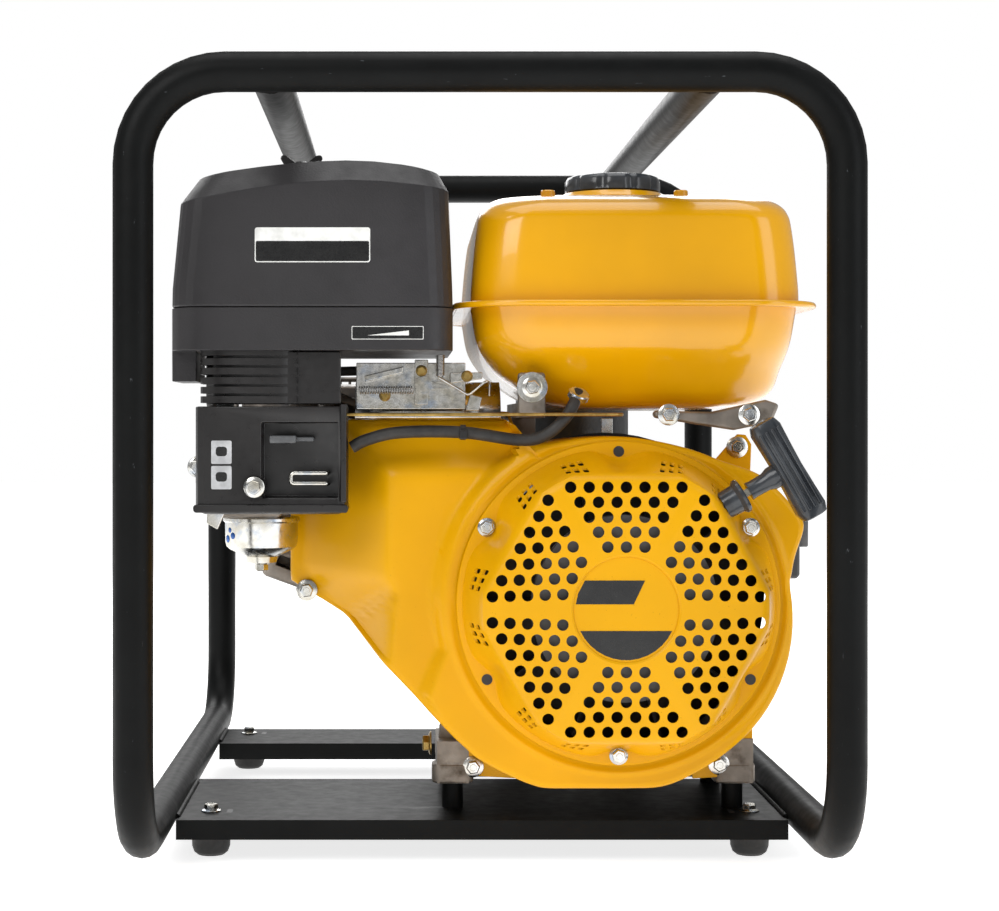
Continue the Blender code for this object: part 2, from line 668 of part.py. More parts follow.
def make_controls():
    block("control_plate", (-0.085, -0.222, 0.309), (-0.012, -0.220, 0.340), FINISH["zinc"])
    lever = rod("throttle_lever", (-0.040, -0.2223, 0.325), (-0.040, -0.2263, 0.325), 0.006,
                FINISH["zinc"], sides=16)
    join(lever, block("throttle_arm", (-0.040, -0.2255, 0.3225), (-0.014, -0.2235, 0.3275)))
    arm = rod("governor_arm", (0.090, -0.1487, 0.270), (0.090, -0.1445, 0.270), 0.006,
              FINISH["zinc"], sides=16)
    join(arm, block("governor_strip", (0.086, -0.1475, 0.270), (0.094, -0.1455, 0.3032)))
    route = [Vector((-0.098, -0.2525, 0.3052)), Vector((0.090, -0.2525, 0.3052)),
             Vector((0.090, -0.146, 0.3052))]
    tube("governor_rod", rounded(route, 0.006, 4), 0.0012, FINISH["zinc"], resolution=2)
    outline = [(-0.086, 0.3035), (0.012, 0.3035), (0.012, 0.3060), (-0.030, 0.3080), (-0.086, 0.330)]
    extruded("heat_shield", outline, -0.214, -0.150, FINISH["zinc"])


def make_fuel_hose():
    route = [Vector(point) for point in (
        (-0.0876, -0.2468, 0.2835), (-0.078, -0.2468, 0.2885), (-0.0558, -0.2468, 0.2935),
        (-0.0144, -0.2468, 0.2935), (0.023, -0.2468, 0.2885), (0.0393, -0.2466, 0.2915),
        (0.052, -0.2462, 0.3020), (0.0585, -0.2435, 0.3120), (0.062, -0.2360, 0.3200),
    )]
    tube("fuel_hose", smooth(route, 3), 0.004, FINISH["rubber"], resolution=2)


def make_electrics():
    block("switch_box", (0.1865, -0.149, 0.190), (0.226, -0.105, 0.240), FINISH["black_plastic"], 0.003)
    block("engine_switch", (0.2263, -0.140, 0.212), (0.2333, -0.124, 0.232), FINISH["grey_plastic"], 0.001)
    turned("dipstick", [
        (0, 0.028), (0.009, 0.028), (0.011, 0.025), (0.011, 0), (0.0075, 0), (0.0075, -0.030),
        (0.003, -0.032), (0.003, -0.060), (0, -0.060),
    ], along(Vector((BLOCK_X[1] + GAP, -0.110, 0.133)), (1, 0, 0)), FINISH["grey_plastic"], steps=16)


# ---------------------------------------------------------------- pump

def make_pump_casing():
    casing = turned("pump_casing", disc_profile(CASING_RADIUS, -CASING_Y[1], -CASING_Y[0]),
                    on_crank(0), FINISH["iron"], steps=28)
    join(
        casing,
        turned("rim", disc_profile(RIM_RADIUS, -CASING_Y[1], -CASING_Y[1] + 0.014), on_crank(0), steps=28),
        rod("discharge_neck", (CRANK.x, DISCHARGE_Y, CRANK.z), (CRANK.x, DISCHARGE_Y, 0.385), 0.047,
            sides=24),
        rod("priming_boss", (0.033, 0.165, 0.230), (0.033, 0.165, 0.285), 0.017, sides=20),
        block("left_leg_casing", (0.026, 0.146, PLATE_TOP + GAP), (0.056, 0.196, 0.110)),
        block("right_leg_casing", (0.120, 0.146, PLATE_TOP + GAP), (0.150, 0.196, 0.110)),
    )
    cut(
        casing,
        turned("volute", disc_profile(CASING_RADIUS - 0.009, -0.3, -CASING_Y[0] - 0.009), on_crank(0),
               steps=28),
        rod("discharge_bore", (CRANK.x, DISCHARGE_Y, CRANK.z), (CRANK.x, DISCHARGE_Y, 0.4), PORT_RADIUS,
            sides=24),
        rod("priming_bore", (0.033, 0.165, 0.2), (0.033, 0.165, 0.3), 0.0124, sides=20),
        rod("shaft_bore", (CRANK.x, 0.05, CRANK.z), (CRANK.x, 0.08, CRANK.z), 0.0135),
        rod("drain_bore", (CRANK.x, 0.165, 0.05), (CRANK.x, 0.165, 0.11), 0.0085, sides=14),
    )
    for x, z in knob_places():
        cut(casing, rod(f"stud_bore_{x}_{z}", (x, 0.188, z), (x, 0.21, z), 0.0038, sides=12))


def knob_places():
    return [(CRANK.x + side * KNOB_CIRCLE, CRANK.z) for side in (-1, 1)]


def make_pump_cover():
    back = CASING_Y[1] + COVER_THICKNESS
    cover = turned("pump_cover", disc_profile(RIM_RADIUS, -back, -CASING_Y[1] - GAP), on_crank(0),
                   FINISH["iron"], steps=28)
    cut(cover, rod("suction_opening", (SUCTION.x, 0.19, SUCTION.z), (SUCTION.x, 0.22, SUCTION.z),
                   PORT_RADIUS, sides=24))
    for number, (x, z) in enumerate(knob_places(), 1):
        cut(cover, rod(f"stud_hole_{number}", (x, 0.19, z), (x, 0.22, z), 0.0042, sides=12))
        knob = turned(f"cover_knob_{number}", [
            (0, 0.022), (0.012, 0.022), (0.015, 0.018), (0.015, 0.004), (0.010, 0), (0.0035, 0),
            (0.0035, -0.022), (0, -0.022),
        ], along(Vector((x, back + GAP, z)), (0, 1, 0)), FINISH["black_plastic"], steps=16)
        join(knob, block(f"knob_bar_{number}", (x - 0.006, back + 0.006, z - 0.026),
                         (x + 0.006, back + 0.018, z + 0.026)))
    start = back + GAP
    port = [
        (PORT_RADIUS, -start), (0.060, -start), (0.060, -start - 0.010),
        (PORT_RADIUS + PORT_WALL, -start - 0.010),
    ]
    for ridge in range(2):
        low = -start - 0.036 - ridge * 0.014
        port += [(PORT_RADIUS + PORT_WALL - 0.0015, low), (PORT_RADIUS + PORT_WALL + 0.0015, low - 0.010)]
    port += [(PORT_RADIUS + PORT_WALL - 0.002, -0.296), (PORT_RADIUS, -0.296)]
    turned("suction_port", port, Matrix.Translation(SUCTION) @ TOWARDS_FRONT, FINISH["castings"], steps=24)
    flap = rod("flap_valve", (SUCTION.x, 0.2035, SUCTION.z), (SUCTION.x, 0.2085, SUCTION.z), 0.0365,
               FINISH["rubber"], sides=24)
    cut(flap, block("flap_top", (0.0, 0.19, SUCTION.z + 0.030), (0.2, 0.22, SUCTION.z + 0.05)))


def make_discharge_port():
    top = 0.430
    turned("discharge_port", [
        (PORT_RADIUS, top), (PORT_RADIUS + PORT_WALL - 0.002, top), (PORT_RADIUS + PORT_WALL, top - 0.004),
        (PORT_RADIUS + PORT_WALL, 0.397), (0.058, 0.397), (0.058, 0.385 + GAP), (PORT_RADIUS, 0.385 + GAP),
    ], Matrix.Translation((CRANK.x, DISCHARGE_Y, 0)), FINISH["castings"], steps=24)


def make_impeller():
    hub = [(0.0128, -0.090), (0.070, -0.090), (0.070, -0.096), (0.030, -0.099), (0.024, -0.116),
           (0.0128, -0.116)]
    impeller = turned("impeller", hub, on_crank(0), FINISH["iron"], steps=28)
    for index in range(3):
        turn = Matrix.Translation(CRANK) @ Matrix.Rotation(math.tau * index / 3, 4, "Y")
        join(impeller, block(f"vane_{index}", (0.020, 0.093, -0.003), (0.069, 0.122, 0.003), matrix=turn))


def make_pump_small_parts():
    turned("pump_adapter", ring_profile(0.030, 0.082, -CASING_Y[0] + GAP, -COVER_BACK - GAP), on_crank(0),
           FINISH["castings"], steps=28)
    turned("mechanical_seal", ring_profile(0.0129, 0.024, -0.089, -0.070), on_crank(0), FINISH["steel"])
    turned("priming_plug", [
        (0, 0.018), (0.009, 0.018), (0.009, 0.009), (0.016, 0.009), (0.016, 0), (0.012, 0),
        (0.012, -0.016), (0, -0.016),
    ], Matrix.Translation((0.033, 0.165, 0.285 + GAP)), FINISH["castings"], steps=20)
    turned("drain_plug", [
        (0, 0.014), (0.008, 0.014), (0.008, 0), (0.013, 0), (0.013, -0.010), (0, -0.010),
    ], Matrix.Translation((CRANK.x, 0.165, CRANK.z - CASING_RADIUS - GAP)), FINISH["castings"], steps=16)


def main():
    make_frame_half("frame_front", -1)
    make_frame_half("frame_rear", 1)
    make_rail("top_rail_left", -RAIL_X)
    make_rail("top_rail_right", RAIL_X)
    make_plates()
    for number, (x, y) in enumerate([(x, y) for y in FOOT_Y for x in (-FOOT_X, FOOT_X)], 1):
        make_foot(f"foot_{number}", x, y)
    make_crankcase()
    make_crankcase_cover()
    make_crankshaft()
    make_piston()
    make_head()
    make_muffler()
    make_shroud()
    make_recoil()
    make_handle()
    make_flywheel()
    make_tank()
    make_tank_brackets()
    make_air_cleaner()
    make_intake_cover()
    make_carburettor()
    make_controls()
    make_fuel_hose()
    make_electrics()
    make_pump_casing()
    make_pump_cover()
    make_discharge_port()
    make_impeller()
    make_pump_small_parts()


for leftover in list(bpy.data.objects):
    bpy.data.objects.remove(leftover)
PARTS = bpy.data.collections.new("trash_pump")
CUTTERS = bpy.data.collections.new("cutters")
for collection in (PARTS, CUTTERS):
    bpy.context.scene.collection.children.link(collection)
FINISH = make_finishes()
main()
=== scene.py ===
"""Petrol engine trash pump: finishes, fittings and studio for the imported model.

Lengths are in metres: x to the right, y away from the starter, z up.
"""

import math

import bmesh
import bpy
from mathutils import Matrix, Vector


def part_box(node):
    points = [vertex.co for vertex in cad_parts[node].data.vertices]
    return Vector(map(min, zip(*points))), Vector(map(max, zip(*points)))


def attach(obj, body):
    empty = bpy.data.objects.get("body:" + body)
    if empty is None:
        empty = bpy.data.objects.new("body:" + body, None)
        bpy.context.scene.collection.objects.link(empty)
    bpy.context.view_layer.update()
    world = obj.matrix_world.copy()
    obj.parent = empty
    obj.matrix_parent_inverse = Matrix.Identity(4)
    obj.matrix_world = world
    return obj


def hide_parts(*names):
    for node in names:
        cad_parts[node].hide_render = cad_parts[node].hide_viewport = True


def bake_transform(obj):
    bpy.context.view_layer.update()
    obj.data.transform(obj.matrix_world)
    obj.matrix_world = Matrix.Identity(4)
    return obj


bl_info = {
    "name": "Trash Pump", "version": (1, 0, 0), "blender": (4, 5, 0),
    "location": "3D View > Sidebar > Trash Pump",
    "description": "Dresses the packed trash pump in its finishes, fittings and studio",
    "category": "Object"
}

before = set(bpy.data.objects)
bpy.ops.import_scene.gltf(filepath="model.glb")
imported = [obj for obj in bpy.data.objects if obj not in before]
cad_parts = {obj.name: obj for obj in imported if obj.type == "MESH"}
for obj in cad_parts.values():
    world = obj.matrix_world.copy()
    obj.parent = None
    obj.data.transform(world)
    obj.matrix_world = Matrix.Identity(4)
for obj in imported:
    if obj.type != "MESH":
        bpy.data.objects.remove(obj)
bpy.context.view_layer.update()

MM = 0.001
FRONT = Vector((0, -1, 0))
REAR = Vector((0, 1, 0))
UP = Vector((0, 0, 1))
DOWN = Vector((0, 0, -1))
RIGHT = Vector((1, 0, 0))
CRANK = Vector((0.088, 0.0, 0.181))
CYLINDER_AXIS = Vector((-math.cos(math.radians(20)), 0, math.sin(math.radians(20))))
PULL_AXIS = Vector((math.cos(math.radians(30)), 0, math.sin(math.radians(30))))
GRIP = Vector((0.194, -0.274, 0.270))
DRUM_FACE = 0.242  # how far forward of the crank's middle each part of the shroud stands
PANEL_FACE = 0.233
FLANGE_FACE = 0.168
SHROUD_BACK = 0.150
FIXING_CIRCLE = 0.1000  # radius of the starter's bolts
FIXING_FACE = 0.2452
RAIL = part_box("top_rail_left")
TUBE_RADIUS = (RAIL[1].x - RAIL[0].x) / 2

# Material and record slot of each finish that several pieces share
TUBE_COAT = ("Powder-coated steel", "black_tube")
SHROUD_PAINT = ("Baking enamel", "yellow")
TANK_PAINT = ("Gloss enamel on drawn steel", "tank_yellow")
GRAINED_PLASTIC = ("Textured polypropylene", "black_plastic")
SMOOTH_PLASTIC = ("Smooth polypropylene", "black_plastic")
NYLON = ("Glass-filled nylon", "black_plastic")
CASTING = ("Die-cast aluminium", "castings")
ZINC = ("Bright zinc plate", "zinc")
STEEL = ("Turned steel", "steel")
IRON = ("Painted grey iron", "iron")
RUBBER = ("Moulded rubber", "rubber")


# ---------------------------------------------------------------- materials


def linear(text):
    """An sRGB hex colour as linear red, green, blue and a full alpha."""
    parts = [int(text[i : i + 2], 16) / 255 for i in (1, 3, 5)]
    return tuple(p / 12.92 if p < 0.04045 else ((p + 0.055) / 1.055) ** 2.4 for p in parts) + (1.0,)


def add(tree, kind, links=(), **settings):
    """Adds a shader node. Settings are its own; links give each socket a value or another node's output."""
    made = tree.nodes.new("ShaderNode" + kind)
    for key, value in settings.items():
        setattr(made, key, value)
    for socket, value in dict(links).items():
        if isinstance(value, bpy.types.NodeSocket):
            tree.links.new(value, made.inputs[socket])
        else:
            made.inputs[socket].default_value = value
    return made


class Finish:
    """A material whose colour and roughness drift a little and whose surface has a grain, all sized in mm."""

    def __init__(self, name, dark, light, rough, patch, grain=0.0, depth=0.0, stretch=(1, 1, 1), even=()):
        self.material = bpy.data.materials.new(name)
        self.material.use_nodes = True
        self.tree = self.material.node_tree
        self.shader = self.tree.nodes["Principled BSDF"]
        for socket, value in dict(even).items():
            self.shader.inputs[socket].default_value = value
        self.place = add(self.tree, "TexCoord").outputs["Object"]
        self.colour = self.between(self.noise(patch, 3), dark, light, 0.35, 0.65)
        self.roughness = add(
            self.tree, "MapRange",
            {
                "Value": self.noise(patch / 5, 4), "From Min": 0.3, "From Max": 0.7, "To Min": rough[0],
                "To Max": rough[1]
            }
        ).outputs["Result"]
        self.normal = None
        if depth:
            drawn = add(self.tree, "Mapping", {"Vector": self.place, "Scale": stretch}).outputs["Vector"]
            self.raise_by(self.noise(grain, 2, drawn), depth)
        self.close()

    def noise(self, size, detail, place=None):
        """Noise whose lumps are about size mm across."""
        links = {
            "Vector": place or self.place, "Scale": 1 / (size * MM), "Detail": detail, "Roughness": 0.55
        }
        return add(self.tree, "TexNoise", links).outputs["Fac"]

    def between(self, share, first, second, start=0.0, end=1.0):
        """A colour from first to second as share goes from start to end."""
        share = add(
            self.tree, "MapRange", {"Value": share, "From Min": start, "From Max": end}
        ).outputs["Result"]
        mix = add(self.tree, "Mix", {0: share, 6: first, 7: second}, data_type="RGBA")
        return mix.outputs[2]

    def raise_by(self, height, depth):
        """Adds relief depth mm high on top of what is there."""
        links = {"Height": height, "Distance": depth * MM, "Strength": 1.0}
        if self.normal:
            links["Normal"] = self.normal
        self.normal = add(self.tree, "Bump", links).outputs["Normal"]

    def close(self):
        """Wires colour, roughness and relief to the shader."""
        self.tree.links.new(self.colour, self.shader.inputs["Base Color"])
        self.tree.links.new(self.roughness, self.shader.inputs["Roughness"])
        if self.normal:
            self.tree.links.new(self.normal, self.shader.inputs["Normal"])


def shade(colour, factor):
    """A linear colour made darker or lighter."""
    return tuple(min(1.0, c * factor) for c in colour[:3]) + (1.0,)


def make_finishes(colours):
    """Every material of the pump and its engine, under its common name."""
    enamel = tuple(colours.enamel) + (1.0,)
    tank = tuple(colours.tank) + (1.0,)
    tube = tuple(colours.tube) + (1.0,)
    moulding = tuple(colours.moulding) + (1.0,)
    casting = tuple(colours.casting) + (1.0,)

    # Polyester powder baked on steel tube: satin, with the fine orange peel of melted powder and a few rubs
    coat = Finish(
        "Powder-coated steel", shade(tube, 0.7), shade(tube, 1.15), (0.40, 0.50), 45, 1.6, 0.035,
        even={"Specular IOR Level": 0.12}
    )
    drawn = add(coat.tree, "Mapping", {"Vector": coat.place, "Scale": (1, 14, 1)}).outputs["Vector"]
    rub = coat.noise(7, 5, drawn)
    coat.colour = coat.between(rub, coat.colour, linear("#4A4D50"), 0.70, 0.76)
    coat.close()

    # Baking enamel sprayed on pressed steel: glossy, with a slow ripple and a little dust in the film
    paint = Finish(
        "Baking enamel", shade(enamel, 0.95), shade(enamel, 1.03), (0.32, 0.40), 70, 9, 0.03,
        even={"Coat Weight": 0.08, "Coat Roughness": 0.12, "Specular IOR Level": 0.15}
    )
    speck = paint.noise(1.1, 1)
    paint.colour = paint.between(speck, paint.colour, shade(enamel, 0.6), 0.77, 0.80)
    paint.close()

    # Two coats of golden enamel on a deep-drawn tank: wet gloss with the long waves of the pressing
    gold = Finish(
        "Gloss enamel on drawn steel", shade(tank, 0.94), shade(tank, 1.04), (0.20, 0.26), 90, 28, 0.05,
        even={"Coat Weight": 0.45, "Coat Roughness": 0.05, "Specular IOR Level": 0.4}
    )
    gold.raise_by(gold.noise(2.2, 1), 0.006)
    gold.close()

    # Polypropylene moulded in an etched tool: an even leather grain about 1 mm across, drawn 1.3 mm to show
    moulded = Finish(
        "Textured polypropylene", shade(moulding, 0.85), shade(moulding, 1.2), (0.42, 0.55), 60
    )
    cells = add(
        moulded.tree, "TexVoronoi", {"Vector": moulded.place, "Scale": 1 / (1.3 * MM)}, feature="SMOOTH_F1"
    )
    moulded.raise_by(cells.outputs["Distance"], 0.09)
    moulded.raise_by(moulded.noise(14, 2), 0.05)
    moulded.close()

    # The same plastic from a polished tool: shinier, with faint flow lines
    smooth = Finish(
        "Smooth polypropylene", linear("#141212"), linear("#1D1B1B"), (0.26, 0.38), 30, 5, 0.05,
        (0.25, 1, 1)
    )
    smooth.close()

    # Glass-filled nylon: black, glossy where hands have polished it
    Finish("Glass-filled nylon", linear("#2A2D31"), linear("#3E4247"), (0.16, 0.26), 20, 0.8, 0.012)

    # Aluminium cast in a steel die and tumbled: dull grey-brown, pitted, stained by oil in patches
    cast = Finish(
        "Die-cast aluminium", shade(casting, 0.62), shade(casting, 1.12), (0.42, 0.60), 24, 1.1, 0.11,
        even={"Metallic": 0.75}
    )
    cast.raise_by(cast.noise(4.5, 3), 0.12)
    stain = cast.noise(16, 4)
    cast.colour = cast.between(stain, cast.colour, linear("#4B4034"), 0.56, 0.76)
    cast.close()

    # Steel with a bright zinc plate: mirror-like but streaked, with a breath of yellow and blue passivate
    zinc = Finish(
        "Bright zinc plate", linear("#B9B4A6"), linear("#DCDCDA"), (0.14, 0.30), 18, 2.5, 0.02,
        even={"Metallic": 1.0}
    )
    zinc.colour = zinc.between(zinc.noise(11, 2), zinc.colour, linear("#A9B2BE"), 0.52, 0.72)
    zinc.close()

    # Steel turned on a lathe: fine rings drawn 0.8 mm apart so that they show
    Finish(
        "Turned steel", linear("#8E8D8C"), linear("#B4B3B1"), (0.22, 0.36), 20, 0.8, 0.02, (1, 12, 1),
        {"Metallic": 1.0}
    )

    # Grey iron cast in sand and sprayed black: coarse skin, thick soft paint
    iron = Finish("Painted grey iron", linear("#141516"), linear("#26282A"), (0.34, 0.50), 35, 1.9, 0.20)
    iron.raise_by(iron.noise(9, 3), 0.22)
    iron.close()

    # Aluminised sheet that has been hot: dull, with brown and blue heat tint
    hot = Finish(
        "Heat-tinted steel", linear("#5A5048"), linear("#85807A"), (0.36, 0.55), 22, 1.4, 0.03,
        even={"Metallic": 0.9}
    )
    hot.colour = hot.between(hot.noise(30, 3), hot.colour, linear("#3E4656"), 0.52, 0.70)
    hot.close()

    # Moulded rubber: matt, with a bloom of wax that greys it
    Finish("Moulded rubber", linear("#1B1A19"), linear("#2E2C2A"), (0.50, 0.66), 12, 0.9, 0.03)

    # Open-cell polyurethane foam, oiled: cells 1.5 mm across
    foam = Finish("Filter foam", linear("#2A2A2C"), linear("#47474A"), (0.8, 0.95), 9)
    pores = add(foam.tree, "TexVoronoi", {"Vector": foam.place, "Scale": 1 / (1.5 * MM)})
    foam.raise_by(pores.outputs["Distance"], 0.9)
    foam.close()

    # Acetal, moulded: mid grey with a low gloss
    Finish("Grey acetal", linear("#4C4D4F"), linear("#626466"), (0.34, 0.46), 12, 0.9, 0.02)

    # Printed polyester film: blank white field, slightly scuffed
    Finish("White film label", linear("#DCDCD8"), linear("#F2F2EF"), (0.30, 0.42), 8, 1.2, 0.008)
    Finish("Black film label", linear("#0E0E0F"), linear("#191919"), (0.24, 0.34), 8, 1.2, 0.008)
    Finish(
        "Silver film label", linear("#B7B8BA"), linear("#D3D4D6"), (0.30, 0.40), 8, 1.2, 0.008,
        even={"Metallic": 0.4}
    )

    # Inspector's paint dab: thick blue lacquer
    Finish("Blue marking lacquer", linear("#12498E"), linear("#2A6CC4"), (0.2, 0.34), 5, 2, 0.06)

    # Yellow-passivated brass fittings: warm, a little dulled
    Finish(
        "Brass", linear("#8C7440"), linear("#B69A5C"), (0.26, 0.42), 7, 1.0, 0.02, even={"Metallic": 1.0}
    )

    # Nylon starter rope: 16-strand braid at 1.6 mm pitch along and round the rope's own map
    rope = Finish("Braided nylon rope", linear("#B9B4A8"), linear("#D6D2C6"), (0.6, 0.75), 6)
    strands = add(rope.tree, "UVMap", uv_map="Along").outputs["UV"]
    braid = add(rope.tree, "TexChecker", {"Vector": strands, "Scale": 1.0}).outputs["Fac"]
    rope.raise_by(braid, 0.3)
    rope.colour = rope.between(braid, rope.colour, linear("#8E897C"))
    rope.close()

    # Dry paper-bonded friction face and carbon of the shaft seal: flat black; the same flat black is laid as
    # painted shade over the plate slots and the starter's empty bolt hole spots
    Finish("Carbon and painted hole shade", linear("#1D1D1E"), linear("#2B2B2D"), (0.4, 0.5), 6, 0.5, 0.01)


# ---------------------------------------------------------------- shapes


def facing(origin, axis, turn=0.0):
    """The place that puts a shape made about +Z at origin with +Z along axis, turned by some degrees."""
    turned_to = Vector(axis).to_track_quat("Z", "Y").to_matrix().to_4x4()
    return Matrix.Translation(Vector(origin)) @ turned_to @ Matrix.Rotation(math.radians(turn), 4, "Z")


def stack(rings, capped=True):
    """Points and faces of closed rings of equal length joined one after another, with both ends capped."""
    points = [Vector(p) for ring in rings for p in ring]
    count = len(rings[0])
    faces = []
    for level in range(len(rings) - 1):
        for i in range(count):
            j = (i + 1) % count
            faces.append(
                (level * count + i, level * count + j, (level + 1) * count + j, (level + 1) * count + i)
            )
    if capped:
        faces.append(tuple(reversed(range(count))))
        faces.append(tuple(range((len(rings) - 1) * count, len(rings) * count)))
    return points, faces


def box(low, high):
    """A cuboid cage between two corners."""
    x, y, z = zip(low, high)
    ring = [(x[0], y[0]), (x[1], y[0]), (x[1], y[1]), (x[0], y[1])]
    return stack([[(a, b, height) for a, b in ring] for height in z])


def slab(outline, near, far, plane="xz"):
    """A plate with an outline in a plane, from near to far along the third axis."""
    order = {
        "xz": lambda a, b, c: (a, c, b), "xy": lambda a, b, c: (a, b, c), "yz": lambda a, b, c: (c, a, b)
    }[plane]
    return stack([[order(a, b, level) for a, b in outline] for level in (near, far)])


def ring(radius, height, count=24, turn=0.0):
    """Points round a circle about +Z."""
    start = math.radians(turn)
    angles = [start + math.tau * i / count for i in range(count)]
    return [(radius * math.cos(a), radius * math.sin(a), height) for a in angles]


def rounded_rectangle(x, y, corner, steps=5):
    """Outline of a rectangle with round corners, anticlockwise."""
    corners = ((x[1], y[0], -90), (x[1], y[1], 0), (x[0], y[1], 90), (x[0], y[0], 180))
    points = []
    for cx, cy, start in corners:
        cx += -corner if cx == x[1] else corner
        cy += -corner if cy == y[1] else corner
        for i in range(steps + 1):
            a = math.radians(start + 90 * i / steps)
            points.append((cx + corner * math.cos(a), cy + corner * math.sin(a)))
    return points


def moved(cage, place):
    """The same cage somewhere else."""
    points, faces = cage
    return [place @ Vector(p) for p in points], faces


def joined(cages):
    """Several cages as one."""
    points, faces = [], []
    for more, other in cages:
        faces += [tuple(i + len(points) for i in face) for face in other]
        points += more
    return points, faces


def rounded_path(corners, bend, steps=8, closed=False):
    """A polyline with each corner turned through an arc of the given radius."""
    corners = [Vector(c) for c in corners]
    path = []
    for i, corner in enumerate(corners):
        if not closed and i in (0, len(corners) - 1):
            path.append(corner)
            continue
        before = (corners[i - 1] - corner).normalized()
        after = (corners[(i + 1) % len(corners)] - corner).normalized()
        half = before.angle(after) / 2
        reach = bend / math.tan(half)
        centre = corner + (before + after).normalized() * (bend / math.sin(half))
        first, last = corner + before * reach - centre, corner + after * reach - centre
        sweep = first.angle(last)
        for step in range(steps + 1):
            share = step / steps
            arm = (first * math.sin((1 - share) * sweep) + last * math.sin(share * sweep)) / math.sin(sweep)
            path.append(centre + arm)
    return path


def eased(points, steps):
    """A smooth line through points of any number of dimensions."""
    ends = [[2 * a - b for a, b in zip(points[0], points[1])]] + [list(p) for p in points]
    ends.append([2 * a - b for a, b in zip(points[-1], points[-2])])
    line = []
    for i in range(1, len(ends) - 2):
        for k in range(steps):
            t = k / steps
            line.append(
                [
                    0.5 * (
                        b * 2 + (c - a) * t + (
                            a * 2 - b * 5 + c * 4 - d
                        ) * t**2 + (b * 3 - a - c * 3 + d) * t**3
                    ) for a,
                    b, c, d in zip(*ends[i - 1 : i + 3])
                ]
            )
    return line + [list(points[-1])]


def dressed(obj, material, slot, body, replaces=()):
    """Gives a piece its material and body, and hides the nodes that it stands for; its slot argument is not
    used.
    """
    obj.data.materials.clear()
    obj.data.materials.append(bpy.data.materials[material])
    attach(obj, body)
    if replaces:
        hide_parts(*replaces)
    return obj


def linked(name, data):
    """A new object in the scene."""
    obj = bpy.data.objects.new(name, data)
    bpy.context.scene.collection.objects.link(obj)
    return obj


def settled(obj, place=None):
    """Applies the object's stack, and then its place, to its mesh."""
    graph = bpy.context.evaluated_depsgraph_get()
    mesh = bpy.data.meshes.new_from_object(obj.evaluated_get(graph))
    obj.modifiers.clear()
    obj.data = mesh
    if place is not None:
        mesh.transform(place)
    return obj


def softened(mesh, sharp):
    """Smooth shading with edges kept sharp where faces meet at more than some degrees."""
    mesh.polygons.foreach_set("use_smooth", [True] * len(mesh.polygons))
    mesh.set_sharp_from_angle(angle=math.radians(sharp))


def cleaned(mesh, merge=0.00001):
    """Merges doubled points and turns every face outwards."""
    work = bmesh.new()
    work.from_mesh(mesh)
    bmesh.ops.remove_doubles(work, verts=work.verts, dist=merge)
    bmesh.ops.recalc_face_normals(work, faces=work.faces)
    work.to_mesh(mesh)
    work.free()


def stacked(obj, bevel=0.0, segments=2, angle=30, levels=0):
    """Adds the live bevel and subdivision that finish a piece."""
    if bevel:
        rounding = obj.modifiers.new("Rounded edges", "BEVEL")
        rounding.width = bevel
        rounding.segments = segments
        rounding.limit_method = "ANGLE"
        rounding.angle_limit = math.radians(angle)
        rounding.harden_normals = not levels
        rounding.miter_outer = "MITER_ARC"
    if levels:
        smoothing = obj.modifiers.new("Smooth skin", "SUBSURF")
        smoothing.levels = levels
        smoothing.render_levels = levels
    return obj


def piece(
    name, cage, material, slot, body, replaces=(), bevel=0.0, segments=2, angle=30, levels=0, sharp=35
):
    """A mesh piece made from a cage."""
    mesh = bpy.data.meshes.new(name)
    mesh.from_pydata([tuple(p) for p in cage[0]], [], cage[1])
    cleaned(mesh)
    softened(mesh, 180 if levels else sharp)
    obj = linked(name, mesh)
    stacked(obj, bevel, segments, angle, levels)
    return dressed(obj, material, slot, body, replaces)


def turned(name, profile, origin, axis, material, slot, body, replaces=(), steps=40, sharp=30, turn=0.0):
    """A turned piece: its profile gives radius and height from the top down; height runs along axis."""
    mesh = bpy.data.meshes.new(name)
    mesh.from_pydata([(r, 0, h) for r, h in profile], [(i, i + 1) for i in range(len(profile) - 1)], [])
    obj = linked(name, mesh)
    lathe = obj.modifiers.new("Turned", "SCREW")
    lathe.steps = steps
    lathe.render_steps = steps
    lathe.use_merge_vertices = True
    lathe.merge_threshold = 0.00001
    settled(obj, facing(origin, axis, turn))
    cleaned(obj.data)
    softened(obj.data, sharp)
    return dressed(obj, material, slot, body, replaces)


def wire(name, points, radius, material, slot, body, replaces=(), closed=False, sides=4, radii=()):
    """A round tube, rod or wire along a line of points."""
    curve = bpy.data.curves.new(name, "CURVE")
    curve.dimensions = "3D"
    curve.bevel_depth = radius
    curve.bevel_resolution = sides
    curve.use_fill_caps = True
    line = curve.splines.new("POLY")
    line.points.add(len(points) - 1)
    for i, (place, point) in enumerate(zip(line.points, points)):
        place.co = (*point, 1.0)
        place.radius = radii[i] if radii else 1.0
    line.use_cyclic_u = closed
    line.use_smooth = True
    return dressed(linked(name, curve), material, slot, body, replaces)


